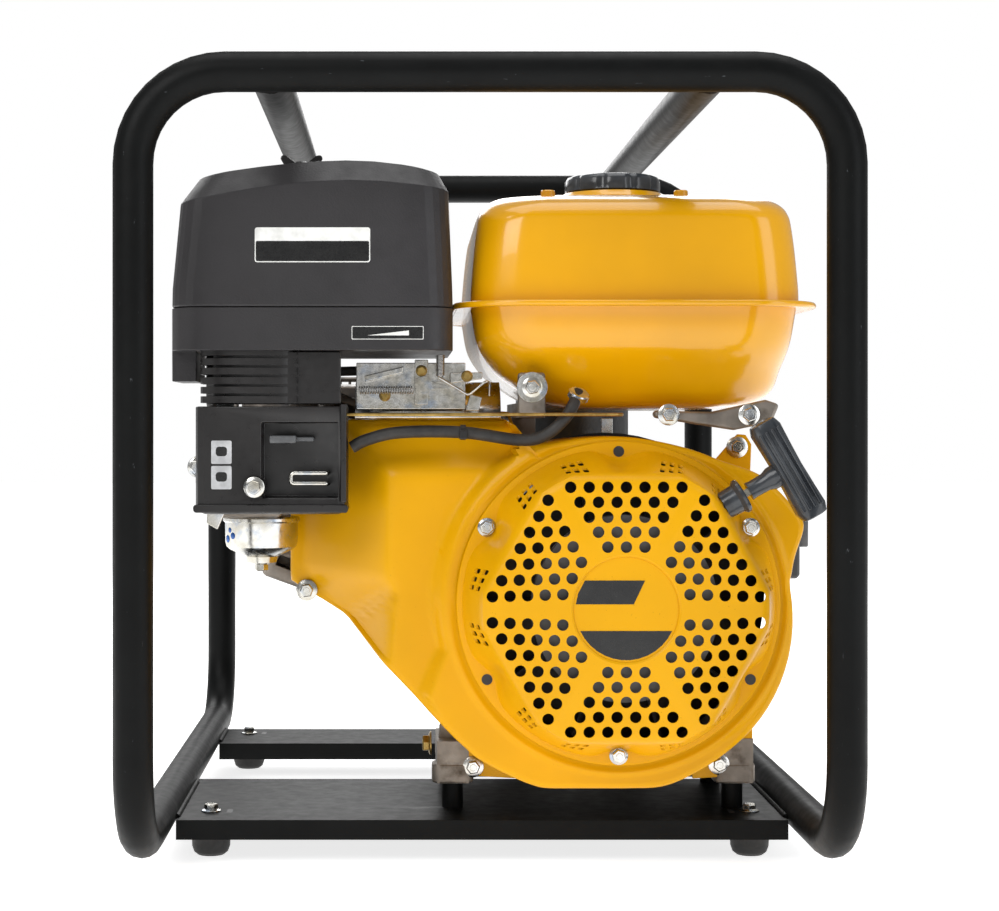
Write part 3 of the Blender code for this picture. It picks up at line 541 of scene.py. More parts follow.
def refined(node, material, slot, body, bevel=0.0008, segments=2, angle=32, sharp=32, below=None):
    """A merged copy of a CAD node, flat faces whole and edges rounded, cut off above a height."""
    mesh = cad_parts[node].data.copy()
    work = bmesh.new()
    work.from_mesh(mesh)
    bmesh.ops.remove_doubles(work, verts=work.verts, dist=0.000004)
    bmesh.ops.dissolve_limit(work, angle_limit=math.radians(0.6), verts=work.verts, edges=work.edges)
    if below is not None:
        whole = work.verts[:] + work.edges[:] + work.faces[:]
        cut = bmesh.ops.bisect_plane(
            work, geom=whole, plane_co=(0, 0, below), plane_no=(0, 0, 1), clear_outer=True
        )
        rim = [e for e in cut["geom_cut"] if isinstance(e, bmesh.types.BMEdge)]
        bmesh.ops.contextual_create(work, geom=rim)
    work.to_mesh(mesh)
    work.free()
    softened(mesh, sharp)
    obj = linked(node + "_finished", mesh)
    stacked(obj, bevel, segments, angle)
    return dressed(obj, material, slot, body, [node])


def hex_bolt(size, washer=1.0, height=0.62):
    """A flanged hexagon screw head about +Z: size is across its flats."""
    flange = [
        ring(size * 0.74 * washer, 0, 20), ring(size * 0.74 * washer, size * 0.09, 20),
        ring(size * 0.6, size * 0.2, 20)
    ]
    wide = size / math.sqrt(3)
    head = [
        ring(wide, size * 0.1, 6), ring(wide, size * (height - 0.08), 6),
        ring(wide * 0.84, size * height, 6)
    ]
    dimple = [ring(size * 0.3, size * (height - 0.02), 12), ring(size * 0.27, size * (height + 0.015), 12)]
    return joined([stack(flange), stack(head), stack(dimple)])


def bolts(
    name, spots, size, body="base", material="Bright zinc plate", slot="zinc", washer=1.0, height=0.62
):
    """Like bolts as one piece. Each spot is a point, the way its head faces, and a turn in degrees."""
    heads = [
        moved(hex_bolt(size, washer, height), facing(point, axis, turn)) for point, axis, turn in spots
    ]
    return piece(name, joined(heads), material, slot, body, bevel=size * 0.03, segments=1, sharp=40)


# ---------------------------------------------------------------- properties


class PumpSizes(bpy.types.PropertyGroup):
    """Sizes that a user would change."""

    grille_hole: bpy.props.FloatProperty(
        name="Grille hole", description="Diameter of each hole in the starter's face", default=0.0075,
        unit="LENGTH"
    )
    grille_pitch: bpy.props.FloatProperty(
        name="Grille pitch", description="Spacing of the holes in the starter's face", default=0.0118,
        unit="LENGTH"
    )
    sheet: bpy.props.FloatProperty(
        name="Sheet", description="Thickness of the starter housing's steel", default=0.0016, unit="LENGTH"
    )
    bolt: bpy.props.FloatProperty(
        name="Bolt", description="Size across the flats of a flange bolt's head", default=0.0085,
        unit="LENGTH"
    )
    rope: bpy.props.FloatProperty(
        name="Rope", description="Diameter of the starter rope", default=0.005, unit="LENGTH"
    )
    hose: bpy.props.FloatProperty(
        name="Hose", description="Outside diameter of the fuel hose", default=0.008, unit="LENGTH"
    )


def colour_property(name, description, text):
    """A colour that a user may change, from its sRGB hex value."""
    return bpy.props.FloatVectorProperty(
        name=name, description=description, default=linear(text)[:3], subtype="COLOR", min=0, max=1
    )


class PumpColours(bpy.types.PropertyGroup):
    """Colours that a user would change."""

    enamel: colour_property("Enamel", "Fan shroud and starter housing", "#DCA000")
    tank: colour_property("Tank", "Fuel tank", "#DFA000")
    tube: colour_property("Tube", "Carrying frame", "#0A0B0B")
    moulding: colour_property("Moulding", "Air cleaner", "#232123")
    casting: colour_property("Casting", "Engine castings", "#8D857C")


# ---------------------------------------------------------------- carrying frame


class PUMP_OT_finishes(bpy.types.Operator):
    """Makes every material and finishes the parts that stay hidden inside."""

    bl_idname = "pump.finishes"
    bl_label = "Finishes"

    def execute(self, context):
        make_finishes(context.scene.pump_colours)
        inside = {
            "crankshaft": "Turned steel", "mechanical_seal": "Carbon and painted hole shade", "impeller": "Painted grey iron",
            "flywheel_fan": "Painted grey iron", "piston": "Die-cast aluminium",
            "filter_element": "Filter foam", "flap_valve": "Moulded rubber", "recoil_pulley": "Grey acetal"
        }
        for name, material in inside.items():
            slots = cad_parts[name].data.materials
            slots.clear()
            slots.append(bpy.data.materials[material])
        return {"FINISHED"}


class PUMP_OT_carrying_frame(bpy.types.Operator):
    """Bends the tube frame and welds in its rails, plates and feet."""

    bl_idname = "pump.carrying_frame"
    bl_label = "Carrying frame"

    def execute(self, context):
        half_width, half_length, top, run = 0.2213, 0.325, 0.5173, 0.032
        corners = []
        for y in (-half_length, half_length):
            side = 1 if y > 0 else -1
            corners += [
                (side * half_width, y, run), (side * half_width, y, top), (-side * half_width, y, top),
                (-side * half_width, y, run)
            ]
        path = rounded_path(corners, 0.057, 10, closed=True)
        wire("bent_tube", path, TUBE_RADIUS, *TUBE_COAT, "base", ["frame_front", "frame_rear"], True, 6)
        for side, name in ((-1, "left"), (1, "right")):
            x = side * 0.137
            ends = [(x, -half_length + TUBE_RADIUS * 0.6, top), (x, half_length - TUBE_RADIUS * 0.6, top)]
            wire(f"rail_{name}", ends, TUBE_RADIUS, *TUBE_COAT, "base", [f"top_rail_{name}"], sides=6)
        self.welds(top)
        for node in ("engine_plate", "pump_plate"):
            refined(node, *TUBE_COAT, "base", 0.0014, 3)
        self.feet(context.scene.pump_sizes.bolt)
        return {"FINISHED"}

    def welds(self, top):
        """Beads round the rail ends and along the plates' sides."""
        beads = []
        for x in (-0.137, 0.137):
            for y in (-0.325, 0.325):
                toward = -1 if y > 0 else 1
                points = []
                for i in range(28):
                    a = math.tau * i / 28
                    across = 0.0128 * math.cos(a)
                    saddle = math.sqrt(TUBE_RADIUS**2 - (0.0112 * math.sin(a)) ** 2)
                    points.append((x + across, y + toward * saddle, top + 0.0112 * math.sin(a)))
                beads.append(points)
        for i, points in enumerate(beads):
            ripple = [1.0 + 0.22 * math.sin(k * 2.4) for k in range(len(points))]
            wire(f"rail_weld_{i}", points, 0.0016, *TUBE_COAT, "base", closed=True, sides=3, radii=ripple)
        for i, (x, y) in enumerate(
            [(s * 0.2084, y) for s in (-1, 1) for y in ((-0.19, -0.05), (0.15, 0.218))]
        ):
            count = 30
            points = [
                (x, y[0] + (y[1] - y[0]) * k / count, 0.0305 - 0.0006 * (k % 2)) for k in range(count + 1)
            ]
            ripple = [0.85 + 0.3 * (k % 2) for k in range(count + 1)]
            wire(f"plate_weld_{i}", points, 0.0022, *TUBE_COAT, "base", sides=3, radii=ripple)

    def feet(self, size):
        """Rubber feet under the plates, the bolts above them, and flat black patches of painted shade over
        the plate slots.
        """
        spots = []
        slots = []
        for i, (x, y) in enumerate([(-0.187, -0.167), (0.187, -0.167), (-0.187, 0.2), (0.187, 0.2)]):
            profile = [
                (0, 0.0268), (0.0125, 0.0268), (0.0135, 0.0255), (0.0135, 0.013), (0.0132, 0.0065),
                (0.0118, 0.0026), (0.0092, 0.0005), (0.006, 0.0), (0.0045, 0.0), (0.0045, 0.004), (0, 0.004)
            ]
            turned(f"rubber_foot_{i + 1}", profile, (x, y, 0), UP, *RUBBER, "base", [f"foot_{i + 1}"], 32)
            spots.append(((x, y, 0.0301), UP, 17 * i))
            side = 1 if x < 0 else -1
            slot = rounded_rectangle(
                (x + side * 0.013 - 0.002, x + side * 0.013 + 0.002), (y - 0.007, y + 0.007), 0.0019, 3
            )
            slots.append(slab(slot, 0.0292, 0.03012, "xy"))
        bolts("foot_bolts", spots, size, washer=1.1)
        # Flat black patches over the slots: painted shade standing in for the dark seen through them
        piece("plate_slot_shade", joined(slots), "Carbon and painted hole shade", "black_tube", "base")


# ---------------------------------------------------------------- engine


class PUMP_OT_castings(bpy.types.Operator):
    """Crankcase, head, brackets and the fittings screwed to them."""

    bl_idname = "pump.castings"
    bl_label = "Engine castings"

    def execute(self, context):
        size = context.scene.pump_sizes.bolt
        refined("crankcase", *CASTING, "base", 0.0016, 2)
        refined("crankcase_cover", *CASTING, "base", 0.0016, 2)
        refined("cylinder_head", *CASTING, "base", 0.0012, 2)
        refined("valve_cover", *CASTING, "base", 0.003, 3)
        refined("tank_bracket_left", *CASTING, "base", 0.0014, 2)
        refined("tank_bracket_right", *CASTING, "base", 0.0024, 3)
        refined("carburettor", *CASTING, "base", 0.0009, 2)
        refined("dipstick", "Grey acetal", "grey_plastic", "dipstick", 0.0006, 2)
        self.fins()
        self.cover_bolts(size)
        self.foot_bosses(size)
        self.spark_plug()
        self.muffler(size)
        return {"FINISHED"}

    def fins(self):
        """Cooling fins round the barrel between the block and the head."""
        fins = []
        across = Vector((math.sin(math.radians(20)), 0, math.cos(math.radians(20))))
        for i in range(8):
            middle = CRANK + CYLINDER_AXIS * (0.116 + 0.0093 * i)
            outline = rounded_rectangle((-0.060, 0.060), (-0.1385, -0.0185), 0.022, 4)
            ends = []
            for shift in (-0.0011, 0.0011):
                base = middle + CYLINDER_AXIS * shift
                ends.append([Vector((base.x + across.x * u, v, base.z + across.z * u)) for u, v in outline])
            fins.append(stack(ends))
        piece("barrel_fins", joined(fins), *CASTING, "base", bevel=0.0004, segments=1)

    def cover_bolts(self, size):
        """Bolts round the crankcase cover and on the rocker cover."""
        spots = []
        for angle in (20, 62, 100, 140, 200, 250, 300, 340):
            a = math.radians(angle)
            spots.append(
                ((CRANK.x + 0.094 * math.cos(a), 0.0098, 0.166 + 0.086 * math.sin(a)), REAR, angle)
            )
        bolts("cover_bolts", spots, size)
        across = Vector((math.sin(math.radians(20)), 0, math.cos(math.radians(20))))
        face = CRANK + CYLINDER_AXIS * 0.2552
        rocker = [
            (
                face + across * u + Vector((0, v, 0)), CYLINDER_AXIS, 10
            ) for u in (-0.036, 0.036) for v in (-0.133, -0.089)
        ]
        bolts("rocker_cover_bolts", rocker, size * 0.8)

    def foot_bosses(self, size):
        """Holding-down bolts in the spacers and the oil drain in its boss."""
        spots = [
            ((x, y, 0.0625), UP, 24 * i) for i, (x, y) in enumerate([(-0.019, -0.1545), (0.1775, -0.1545)])
        ]
        lugs = []
        for x in (-0.019, 0.1775):
            outline = rounded_rectangle((x - 0.0145, x + 0.0145), (-0.1655, -0.143), 0.006, 4)
            lugs.append(slab(outline, 0.0488, 0.0622, "xy"))
            rib = [(x - 0.011, 0.0615), (x + 0.011, 0.0615), (x + 0.009, 0.088), (x - 0.009, 0.088)]
            lugs.append(slab(rib, -0.147, -0.141))
        piece("foot_lugs", joined(lugs), *CASTING, "base", bevel=0.0016, segments=2)
        bolts("holding_down_bolts", spots, size * 1.15, washer=1.25)
        drain = [((-0.0338, -0.1552, 0.0755), (-1, 0, 0), 12)]
        bolts("oil_drain", drain, size * 1.2, material="Brass", washer=1.1)

    def spark_plug(self):
        """Rubber plug cap and the lead that runs from it under the tank."""
        refined("spark_plug_cap", *RUBBER, "base", 0.0012, 3)
        end = Vector((-0.176, -0.056, 0.2845))
        corners = [
            end, (-0.192, -0.056, 0.290), (-0.197, -0.075, 0.322), (-0.150, -0.098, 0.336),
            (-0.060, -0.110, 0.338)
        ]
        wire("plug_lead", rounded_path(corners, 0.012, 5), 0.0035, *RUBBER, "base", sides=3)

    def muffler(self, size):
        """Silencer in its pierced guard."""
        low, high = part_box("muffler")
        middle = (low + high) / 2
        body = [
            rounded_rectangle(
                (low.x + 0.010 + inset, high.x - 0.004 - inset), (0.002 + inset, high.y - 0.008 - inset),
                0.020, 5
            ) for inset in (0.012, 0.003, 0.0, 0.0, 0.003, 0.012)
        ]
        heights = (
            low.z + 0.008, low.z + 0.010, low.z + 0.020, high.z - 0.020, high.z - 0.010, high.z - 0.008
        )
        cage = stack([[(x, y, z) for x, y in outline] for outline, z in zip(body, heights)])
        piece(
            "silencer", cage, "Heat-tinted steel", "iron", "base", ["muffler"], bevel=0.0015, segments=2,
            angle=24
        )
        pipe = rounded_path([(-0.105, -0.029, 0.262), (-0.105, 0.012, 0.262)], 0.01)
        wire("exhaust_stub", pipe, 0.014, "Heat-tinted steel", "iron", "base", sides=5)
        guard = bpy.data.meshes.new("silencer_guard")
        sheet = bmesh.new()
        bmesh.ops.create_grid(sheet, x_segments=18, y_segments=12, size=0.5)
        sheet.to_mesh(guard)
        sheet.free()
        span = Matrix.Diagonal((high.x - low.x - 0.006, high.z - low.z - 0.008, 1, 1))
        guard.transform(
            Matrix.Translation(
                (middle.x, high.y - 0.002, middle.z)
            ) @ Matrix.Rotation(math.radians(90), 4, "X") @ span
        )
        obj = linked("silencer_guard", guard)
        bars = obj.modifiers.new("Pierced sheet", "WIREFRAME")
        bars.thickness = 0.0032
        bars.use_even_offset = False
        settled(obj)
        dressed(obj, "Heat-tinted steel", "iron", "base")
        rim = rounded_rectangle((low.x + 0.002, high.x - 0.002), (low.z + 0.003, high.z - 0.003), 0.012, 6)
        edge = [(x, high.y - 0.002, z) for x, z in rim]
        wire("guard_rim", edge, 0.0019, "Heat-tinted steel", "iron", "base", closed=True, sides=2)
        corners = [
            (x, high.y - 0.0012, z) for x in (
                low.x + 0.010, high.x - 0.010
            ) for z in (low.z + 0.010, high.z - 0.010)
        ]
        posts = [(point, REAR, 15) for point in corners]
        bolts(
            "guard_screws", [(Vector(p) - Vector((0, 0.004, 0)), axis, t) for p, axis, t in posts],
            size * 0.8
        )
        stays = [
            stack(
                [
                    [
                        (x + dx, y, z + dz) for dx,
                        dz in ((-0.003, -0.003), (0.003, -0.003), (0.003, 0.003), (-0.003, 0.003))
                    ] for y in (0.03, high.y - 0.003)
                ]
            ) for x,
            _, z in corners
        ]
        piece("guard_stays", joined(stays), "Heat-tinted steel", "iron", "base", bevel=0.0006)


class PUMP_OT_shroud(bpy.types.Operator):
    """Yellow fan shroud with its ears, step and embossed panel."""

    bl_idname = "pump.shroud"
    bl_label = "Fan shroud"

    def execute(self, context):
        size = context.scene.pump_sizes.bolt
        self.skin()
        left = [(-0.0138, 0.0880), (-0.0138, 0.0583), (-0.0096, 0.0541), (0.0282, 0.0520), (0.0282, 0.0779)]
        right = [(0.176 - x, z) for x, z in left]
        top = [(0.1600, 0.2700), (0.1790, 0.2920), (0.1850, 0.2915), (0.1890, 0.2850), (0.1880, 0.2600)]
        high = [
            (-0.0100, 0.2900), (-0.0100, 0.3050), (0.0060, 0.3085), (0.0200, 0.3075), (0.0230, 0.3000),
            (0.0230, 0.2900)
        ]
        ears = [slab(outline, -0.1640, -0.1620) for outline in (left, right, top, high)]
        spots = [((x, -0.1641, z), FRONT, turn) for x, z, turn in
                 ((-0.0050, 0.0605, 8), (0.1663, 0.0622, 22), (0.1789, 0.2829, 40), (0.0129, 0.2997, 15))]
        piece("shroud_ears", joined(ears), *SHROUD_PAINT, "base", bevel=0.0007, segments=2)
        spots.append(((-0.1205, -0.1692, 0.1838), FRONT, 8))
        bolts("shroud_bolts", spots, size, washer=1.2)
        # Flat black ring behind the fan: a sheet of painted shade, so the starter's grille shows dark instead
        # of the bright world through the shroud's open back
        shade_disc = [(0.0300, 0.1510), (0.1120, 0.1510), (0.1120, 0.1525), (0.0300, 0.1525), (0.0300, 0.1510)]
        turned("fan_shade_disc", shade_disc, (CRANK.x, 0, CRANK.z), FRONT, *SMOOTH_PLASTIC, "base", steps=60)
        return {"FINISHED"}

    def skin(self):
        """Pressed shell: rings from the fan opening out to the rim, then a rounded edge and the side wall."""
        outline = self.outline()
        opening, rim = 0.1040, 0.0042
        columns = []
        for i in range(288):
            out = Vector((math.cos(math.tau * i / 288), math.sin(math.tau * i / 288)))
            reach = self.reach(outline, out)
            column = []
            for step in range(33):
                flat = out * (opening + (reach - rim - opening) * step / 32)
                at = Vector((CRANK.x + flat.x, CRANK.z + flat.y))
                column.append((at.x, -self.depth(at, flat.length), at.y))
            deep = -column[-1][1]
            for inset, drop in ((0.0022, 0.0006), (0.0008, 0.0018), (0.0, 0.0042)):
                at = out * (reach - inset)
                column.append((CRANK.x + at.x, -deep + drop, CRANK.z + at.y))
            at = out * reach
            column.append((CRANK.x + at.x, -SHROUD_BACK, CRANK.z + at.y))
            columns.append(column)
        rings = [[column[level] for column in columns] for level in range(len(columns[0]))]
        points, faces = stack(rings, capped=False)
        mesh = bpy.data.meshes.new("shroud_skin")
        mesh.from_pydata([tuple(p) for p in points], [], [tuple(reversed(face)) for face in faces])
        front = mesh.polygons[0]
        if front.normal.y > 0:
            mesh.flip_normals()
        softened(mesh, 50)
        obj = linked("shroud_skin", mesh)
        wall = obj.modifiers.new("Sheet", "SOLIDIFY")
        wall.thickness = 0.0016
        wall.offset = -1
        dressed(obj, *SHROUD_PAINT, "base", ["fan_shroud"])

    def outline(self):
        """Rim of the shroud: a long wing to the left, the drum below and a lobe to the right."""
        lobe = [(0.2018, 0.1955), (0.2055, 0.2120), (0.2105, 0.2270), (0.2108, 0.2345), (0.2065, 0.2415),
                (0.1935, 0.2560), (0.1795, 0.2668), (0.1565, 0.2748), (0.1358, 0.2825), (0.1100, 0.2885),
                (0.0880, 0.2908), (0.0640, 0.2898), (0.0400, 0.2868), (0.0300, 0.2866)]
        wing = rounded_path(
            [
                (0.0180, 0.3010, 0), (0.0150, 0.3025, 0), (-0.132, 0.3025, 0), (-0.132, 0.190, 0),
                (-0.094, 0.168, 0), (-0.0200, 0.0915, 0)
            ],
            0.004, 5
        )
        drum = []
        for degrees, radius in eased(
            (
                (227, 0.1390), (238, 0.1350), (248, 0.1322), (259, 0.1258), (272, 0.1230), (284, 0.1252),
                (294, 0.1240), (306, 0.1226), (321, 0.1219), (338, 0.1196), (356, 0.1160), (364, 0.1145)
            ),
            4
        ):
            angle = math.radians(degrees)
            height = max(0.0581, CRANK.z + radius * math.sin(angle))
            drum.append((CRANK.x + radius * math.cos(angle), height))
        return [Vector(p[:2]) for p in (*eased(lobe, 4), *wing, *drum)]

    def reach(self, outline, out):
        """How far the rim is from the crank along a direction."""
        centre = Vector((CRANK.x, CRANK.z))
        side = Vector((-out.y, out.x))
        best = 0.0
        for i, first in enumerate(outline):
            a, b = first - centre, outline[(i + 1) % len(outline)] - centre
            low, high = a.dot(side), b.dot(side)
            if low * high > 0 or low == high:
                continue
            share = low / (low - high)
            best = max(best, (a + (b - a) * share).dot(out))
        return best

    def depth(self, at, radius):
        """How far forward the skin stands: the drum, or the panel sloping to its left, top and corner."""
        x, z = at
        drop = Vector((0.760, 0.650))
        corner = (Vector((x, z)) - Vector((-0.1253, 0.2010))).dot(drop)
        past = max(0.0, (Vector((x, z)) - Vector((-0.0926, 0.1628))).dot(Vector((0.650, -0.760))))
        slopes = (
            PANEL_FACE, PANEL_FACE + (x + 0.064) * 1.10, PANEL_FACE - (z - 0.267) * 0.9,
            FLANGE_FACE + (corner + past) * 1.5
        )
        soft = 0.0016
        level = -soft * math.log(sum(math.exp(-(s - 0.1) / soft) for s in slopes)) + 0.1
        panel = max(FLANGE_FACE, level)
        edge = 0.1235 + 0.022 * min(1.0, max(0.0, (0.150 - z) / 0.030))
        rise = min(1.0, max(0.0, (edge - radius) / 0.008))
        drum = DRUM_FACE * rise * rise * (3 - 2 * rise) + panel * (1 - rise * rise * (3 - 2 * rise))
        bead = 0.0016 * math.exp(-(((radius - 0.1118) / 0.0026) ** 2))
        if x > 0.02:
            return DRUM_FACE + bead
        return max(panel, drum) + bead


class PUMP_OT_recoil(bpy.types.Operator):
    """Recoil starter: pierced housing, centre plate, fixings, grip and rope."""

    bl_idname = "pump.recoil"
    bl_label = "Recoil starter"

    def execute(self, context):
        sizes = context.scene.pump_sizes
        self.housing(sizes)
        self.centre()
        self.fixings(sizes.bolt)
        self.grip()
        self.rope(sizes.rope)
        return {"FINISHED"}

    def outline(self, radius, sixness, scallop=0.0, count=144):
        """A circle drawn towards a six-sided shape, flats at top and bottom, with optional notches."""
        points = []
        for i in range(count):
            a = math.tau * i / count
            nearest = a % math.radians(60) - math.radians(30)
            reach = radius * (1 + sixness * (min(1 / math.cos(nearest), 1.085) - 1))
            reach -= scallop * math.exp(-((math.degrees(nearest) / 7.5) ** 2))
            points.append((reach * math.cos(a), reach * math.sin(a)))
        return points

    def housing(self, sizes):
        """Pressed dome: rings from the flange in to the face, thickened and pierced by one set of punches."""
        levels = [
            (0.1068, 0.0, 0.0, 0.2440), (0.1062, 0.0, 0.0, 0.2449), (0.1050, 0.0, 0.0, 0.2452),
            (0.1030, 0.0, 0.0075, 0.2455), (0.1020, 0.05, 0.0085, 0.2475), (0.0992, 0.2, 0.0085, 0.2550),
            (0.0955, 0.4, 0.0065, 0.2640), (0.0918, 0.6, 0.0035, 0.2730), (0.0880, 0.8, 0.001, 0.2830),
            (0.0862, 0.9, 0.0, 0.2870), (0.0842, 1.0, 0.0, 0.2903), (0.0815, 1.0, 0.0, 0.2922),
            (0.0785, 1.0, 0.0, 0.2930), (0.0400, 1.0, 0.0, 0.2930), (0.0350, 0.0, 0.0, 0.2930),
            (0.0338, 0.0, 0.0, 0.2922), (0.0334, 0.0, 0.0, 0.2912), (0.0150, 0.0, 0.0, 0.2912)
        ]
        rings = []
        for radius, sixness, scallop, depth in levels:
            outline = self.outline(radius, sixness, scallop)
            rings.append([(CRANK.x + x, -depth, CRANK.z + z) for x, z in outline])
        points, faces = stack(rings, capped=False)
        hub = len(points)
        count = len(rings[0])
        points.append(Vector((CRANK.x, -0.2912, CRANK.z)))
        last = (len(rings) - 1) * count
        faces += [(last + i, last + (i + 1) % count, hub) for i in range(count)]
        mesh = bpy.data.meshes.new("recoil_dome")
        mesh.from_pydata([tuple(p) for p in points], [], faces)
        cleaned(mesh)
        outward = bmesh.new()
        outward.from_mesh(mesh)
        outward.faces.ensure_lookup_table()
        face = max(outward.faces, key=lambda f: -f.calc_center_median().y)
        if face.normal.y > 0:
            bmesh.ops.reverse_faces(outward, faces=outward.faces)
        outward.to_mesh(mesh)
        outward.free()
        obj = linked("recoil_dome", mesh)
        wall = obj.modifiers.new("Sheet", "SOLIDIFY")
        wall.thickness = sizes.sheet
        wall.offset = -1
        wall.use_even_offset = True
        settled(obj)
        punches = self.punches(sizes)
        cut = obj.modifiers.new("Pierced", "BOOLEAN")
        cut.object = punches
        cut.operation = "DIFFERENCE"
        cut.solver = "EXACT"
        settled(obj)
        bpy.data.objects.remove(punches)
        cleaned(obj.data, 0.000002)
        softened(obj.data, 32)
        dressed(obj, *SHROUD_PAINT, "base", ["recoil_housing"])

    def punches(self, sizes):
        """Round punches for the face and small oblong ones for the slanting wall, as one mesh."""
        cages = []
        row_step = sizes.grille_pitch * math.sqrt(3) / 2 * 0.93
        for sector in range(6):
            a = math.radians(90 + 60 * sector)
            out = Vector((math.cos(a), math.sin(a)))
            side = Vector((-out.y, out.x))
            for row in range(5):
                for k in range(row + 3):
                    at = out * (0.0398 + row_step * row) + side * sizes.grille_pitch * (k - (row + 2) / 2)
                    if at.length > 0.0905:
                        continue
                    place = Matrix.Translation(
                        (CRANK.x + at.x, 0, CRANK.z + at.y)
                    ) @ Matrix.Rotation(math.radians(90), 4, "X")
                    hole = [ring(sizes.grille_hole / 2, height, 14, 5) for height in (0.286, 0.300)]
                    cages.append(moved(stack(hole), place))
            b = a + math.radians(30)
            out = Vector((math.cos(b), math.sin(b)))
            side = Vector((-out.y, out.x))
            for offset in (-0.0227, -0.0175, -0.0123, 0.0123, 0.0175, 0.0227):
                for reach, depth in ((0.0995, 0.2660), (0.0935, 0.2790)):
                    middle = Vector(
                        (
                            CRANK.x + out.x * reach + side.x * offset, -depth,
                            CRANK.z + out.y * reach + side.y * offset
                        )
                    )
                    axis = Vector((out.x, 0, out.y))
                    along = Vector((side.x, 0, side.y))
                    rise = along.cross(axis)
                    basis = Matrix((along, rise, axis)).transposed().to_4x4()
                    outline = rounded_rectangle((-0.0016, 0.0016), (-0.0046, 0.0046), 0.0014, 2)
                    prism = stack([[(x, y, height) for x, y in outline] for height in (-0.013, 0.009)])
                    cages.append(moved(prism, Matrix.Translation(middle) @ basis))
        mesh = bpy.data.meshes.new("punches")
        points, faces = joined(cages)
        mesh.from_pydata([tuple(p) for p in points], [], faces)
        cleaned(mesh)
        return linked("punches", mesh)

    def centre(self):
        """Blank black band and segment on the sunk centre of the face."""
        radius = 0.0322
        bands = []
        upper = [
            (-0.0262, 0.0185), (-0.0306, 0.0100), (-0.0320, 0.0034), (0.0048, 0.0034), (0.0120, 0.0185)
        ]
        bands.append(upper)
        lower = [
            (
                radius * math.cos(math.radians(a)), radius * math.sin(math.radians(a))
            ) for a in range(205, 336, 10)
        ]
        bands.append([(x, z) for x, z in lower])
        cages = [slab([(CRANK.x + x, CRANK.z + z) for x, z in band], -0.2913, -0.29145) for band in bands]
        piece("centre_bands", joined(cages), "Black film label", "yellow", "base")

    def fixings(self, size):
        """Three flange bolts, and a flat black disc of painted shade at each of the flange's three empty bolt
        hole spots.
        """
        spots = []
        hole_shade = []
        for angle in (30, 150, 270):
            a = math.radians(angle)
            spots.append(
                (
                    (
                        CRANK.x + FIXING_CIRCLE * math.cos(a), -FIXING_FACE,
                        CRANK.z + FIXING_CIRCLE * math.sin(a)
                    ),
                    FRONT, angle + 12
                )
            )
            b = math.radians(angle + 60)
            place = facing(
                (CRANK.x + FIXING_CIRCLE * math.cos(b), -0.2451, CRANK.z + FIXING_CIRCLE * math.sin(b)),
                FRONT
            )
            # A flat black disc of painted shade standing in for the dark of an open hole
            hole_shade.append(moved(stack([ring(0.0036, 0.0, 18), ring(0.0036, 0.0006, 18)]), place))
        bolts("recoil_bolts", spots, size * 0.95, washer=1.05)
        piece("recoil_empty_hole_shade", joined(hole_shade), "Carbon and painted hole shade", "yellow", "base")

    def grip(self):
        """T-shaped pull grip with three grooves, its stem and the collar that the rope leaves through."""
        down = Vector((math.cos(math.radians(-60)), 0, math.sin(math.radians(-60))))
        place = Matrix((down, Vector((0, 1, 0)), PULL_AXIS)).transposed().to_4x4()
        place = Matrix.Translation(GRIP) @ place
        rings = []
        for at, wide, deep in (
            (-0.0350, 0.0055, 0.0070), (-0.0342, 0.0080, 0.0095), (-0.0290, 0.0098, 0.0112),
            (-0.0150, 0.0092, 0.0108), (0.0, 0.0088, 0.0104), (0.0150, 0.0092, 0.0108),
            (0.0290, 0.0098, 0.0112), (0.0342, 0.0080, 0.0095), (0.0350, 0.0055, 0.0070)
        ):
            outline = rounded_rectangle((-deep, deep), (-wide, wide), min(wide, deep) * 0.6, 3)
            rings.append([(at, y, z) for y, z in outline])
        piece("grip", moved(stack(rings), place), *NYLON, "starter_handle",
              ["recoil_handle"], bevel=0.0004, segments=1, angle=50, sharp=60)
        ribs = []
        for z in (-0.0062, -0.0021, 0.0021, 0.0062):
            ribs.append(box((-0.0285, -0.0121, z - 0.0012), (0.0285, -0.0100, z + 0.0012)))
        piece("grip_ribs", moved(joined(ribs), place), *NYLON, "starter_handle", bevel=0.0007, segments=2)
        stem = [
            (0, -0.008), (0.0078, -0.008), (0.0076, -0.0125), (0.0060, -0.0165), (0.0057, -0.0260),
            (0.0062, -0.0290), (0.0, -0.0290)
        ]
        turned("grip_stem", stem, GRIP, PULL_AXIS, *NYLON, "starter_handle", steps=28)
        collar = [
            (0.0030, -0.0330), (0.0108, -0.0330), (0.0116, -0.0340), (0.0116, -0.0356), (0.0095, -0.0380),
            (0.0090, -0.0480), (0.0030, -0.0480), (0.0030, -0.0330)
        ]
        turned("rope_collar", collar, GRIP, PULL_AXIS, *NYLON, "base", ["rope_guide"], 32)

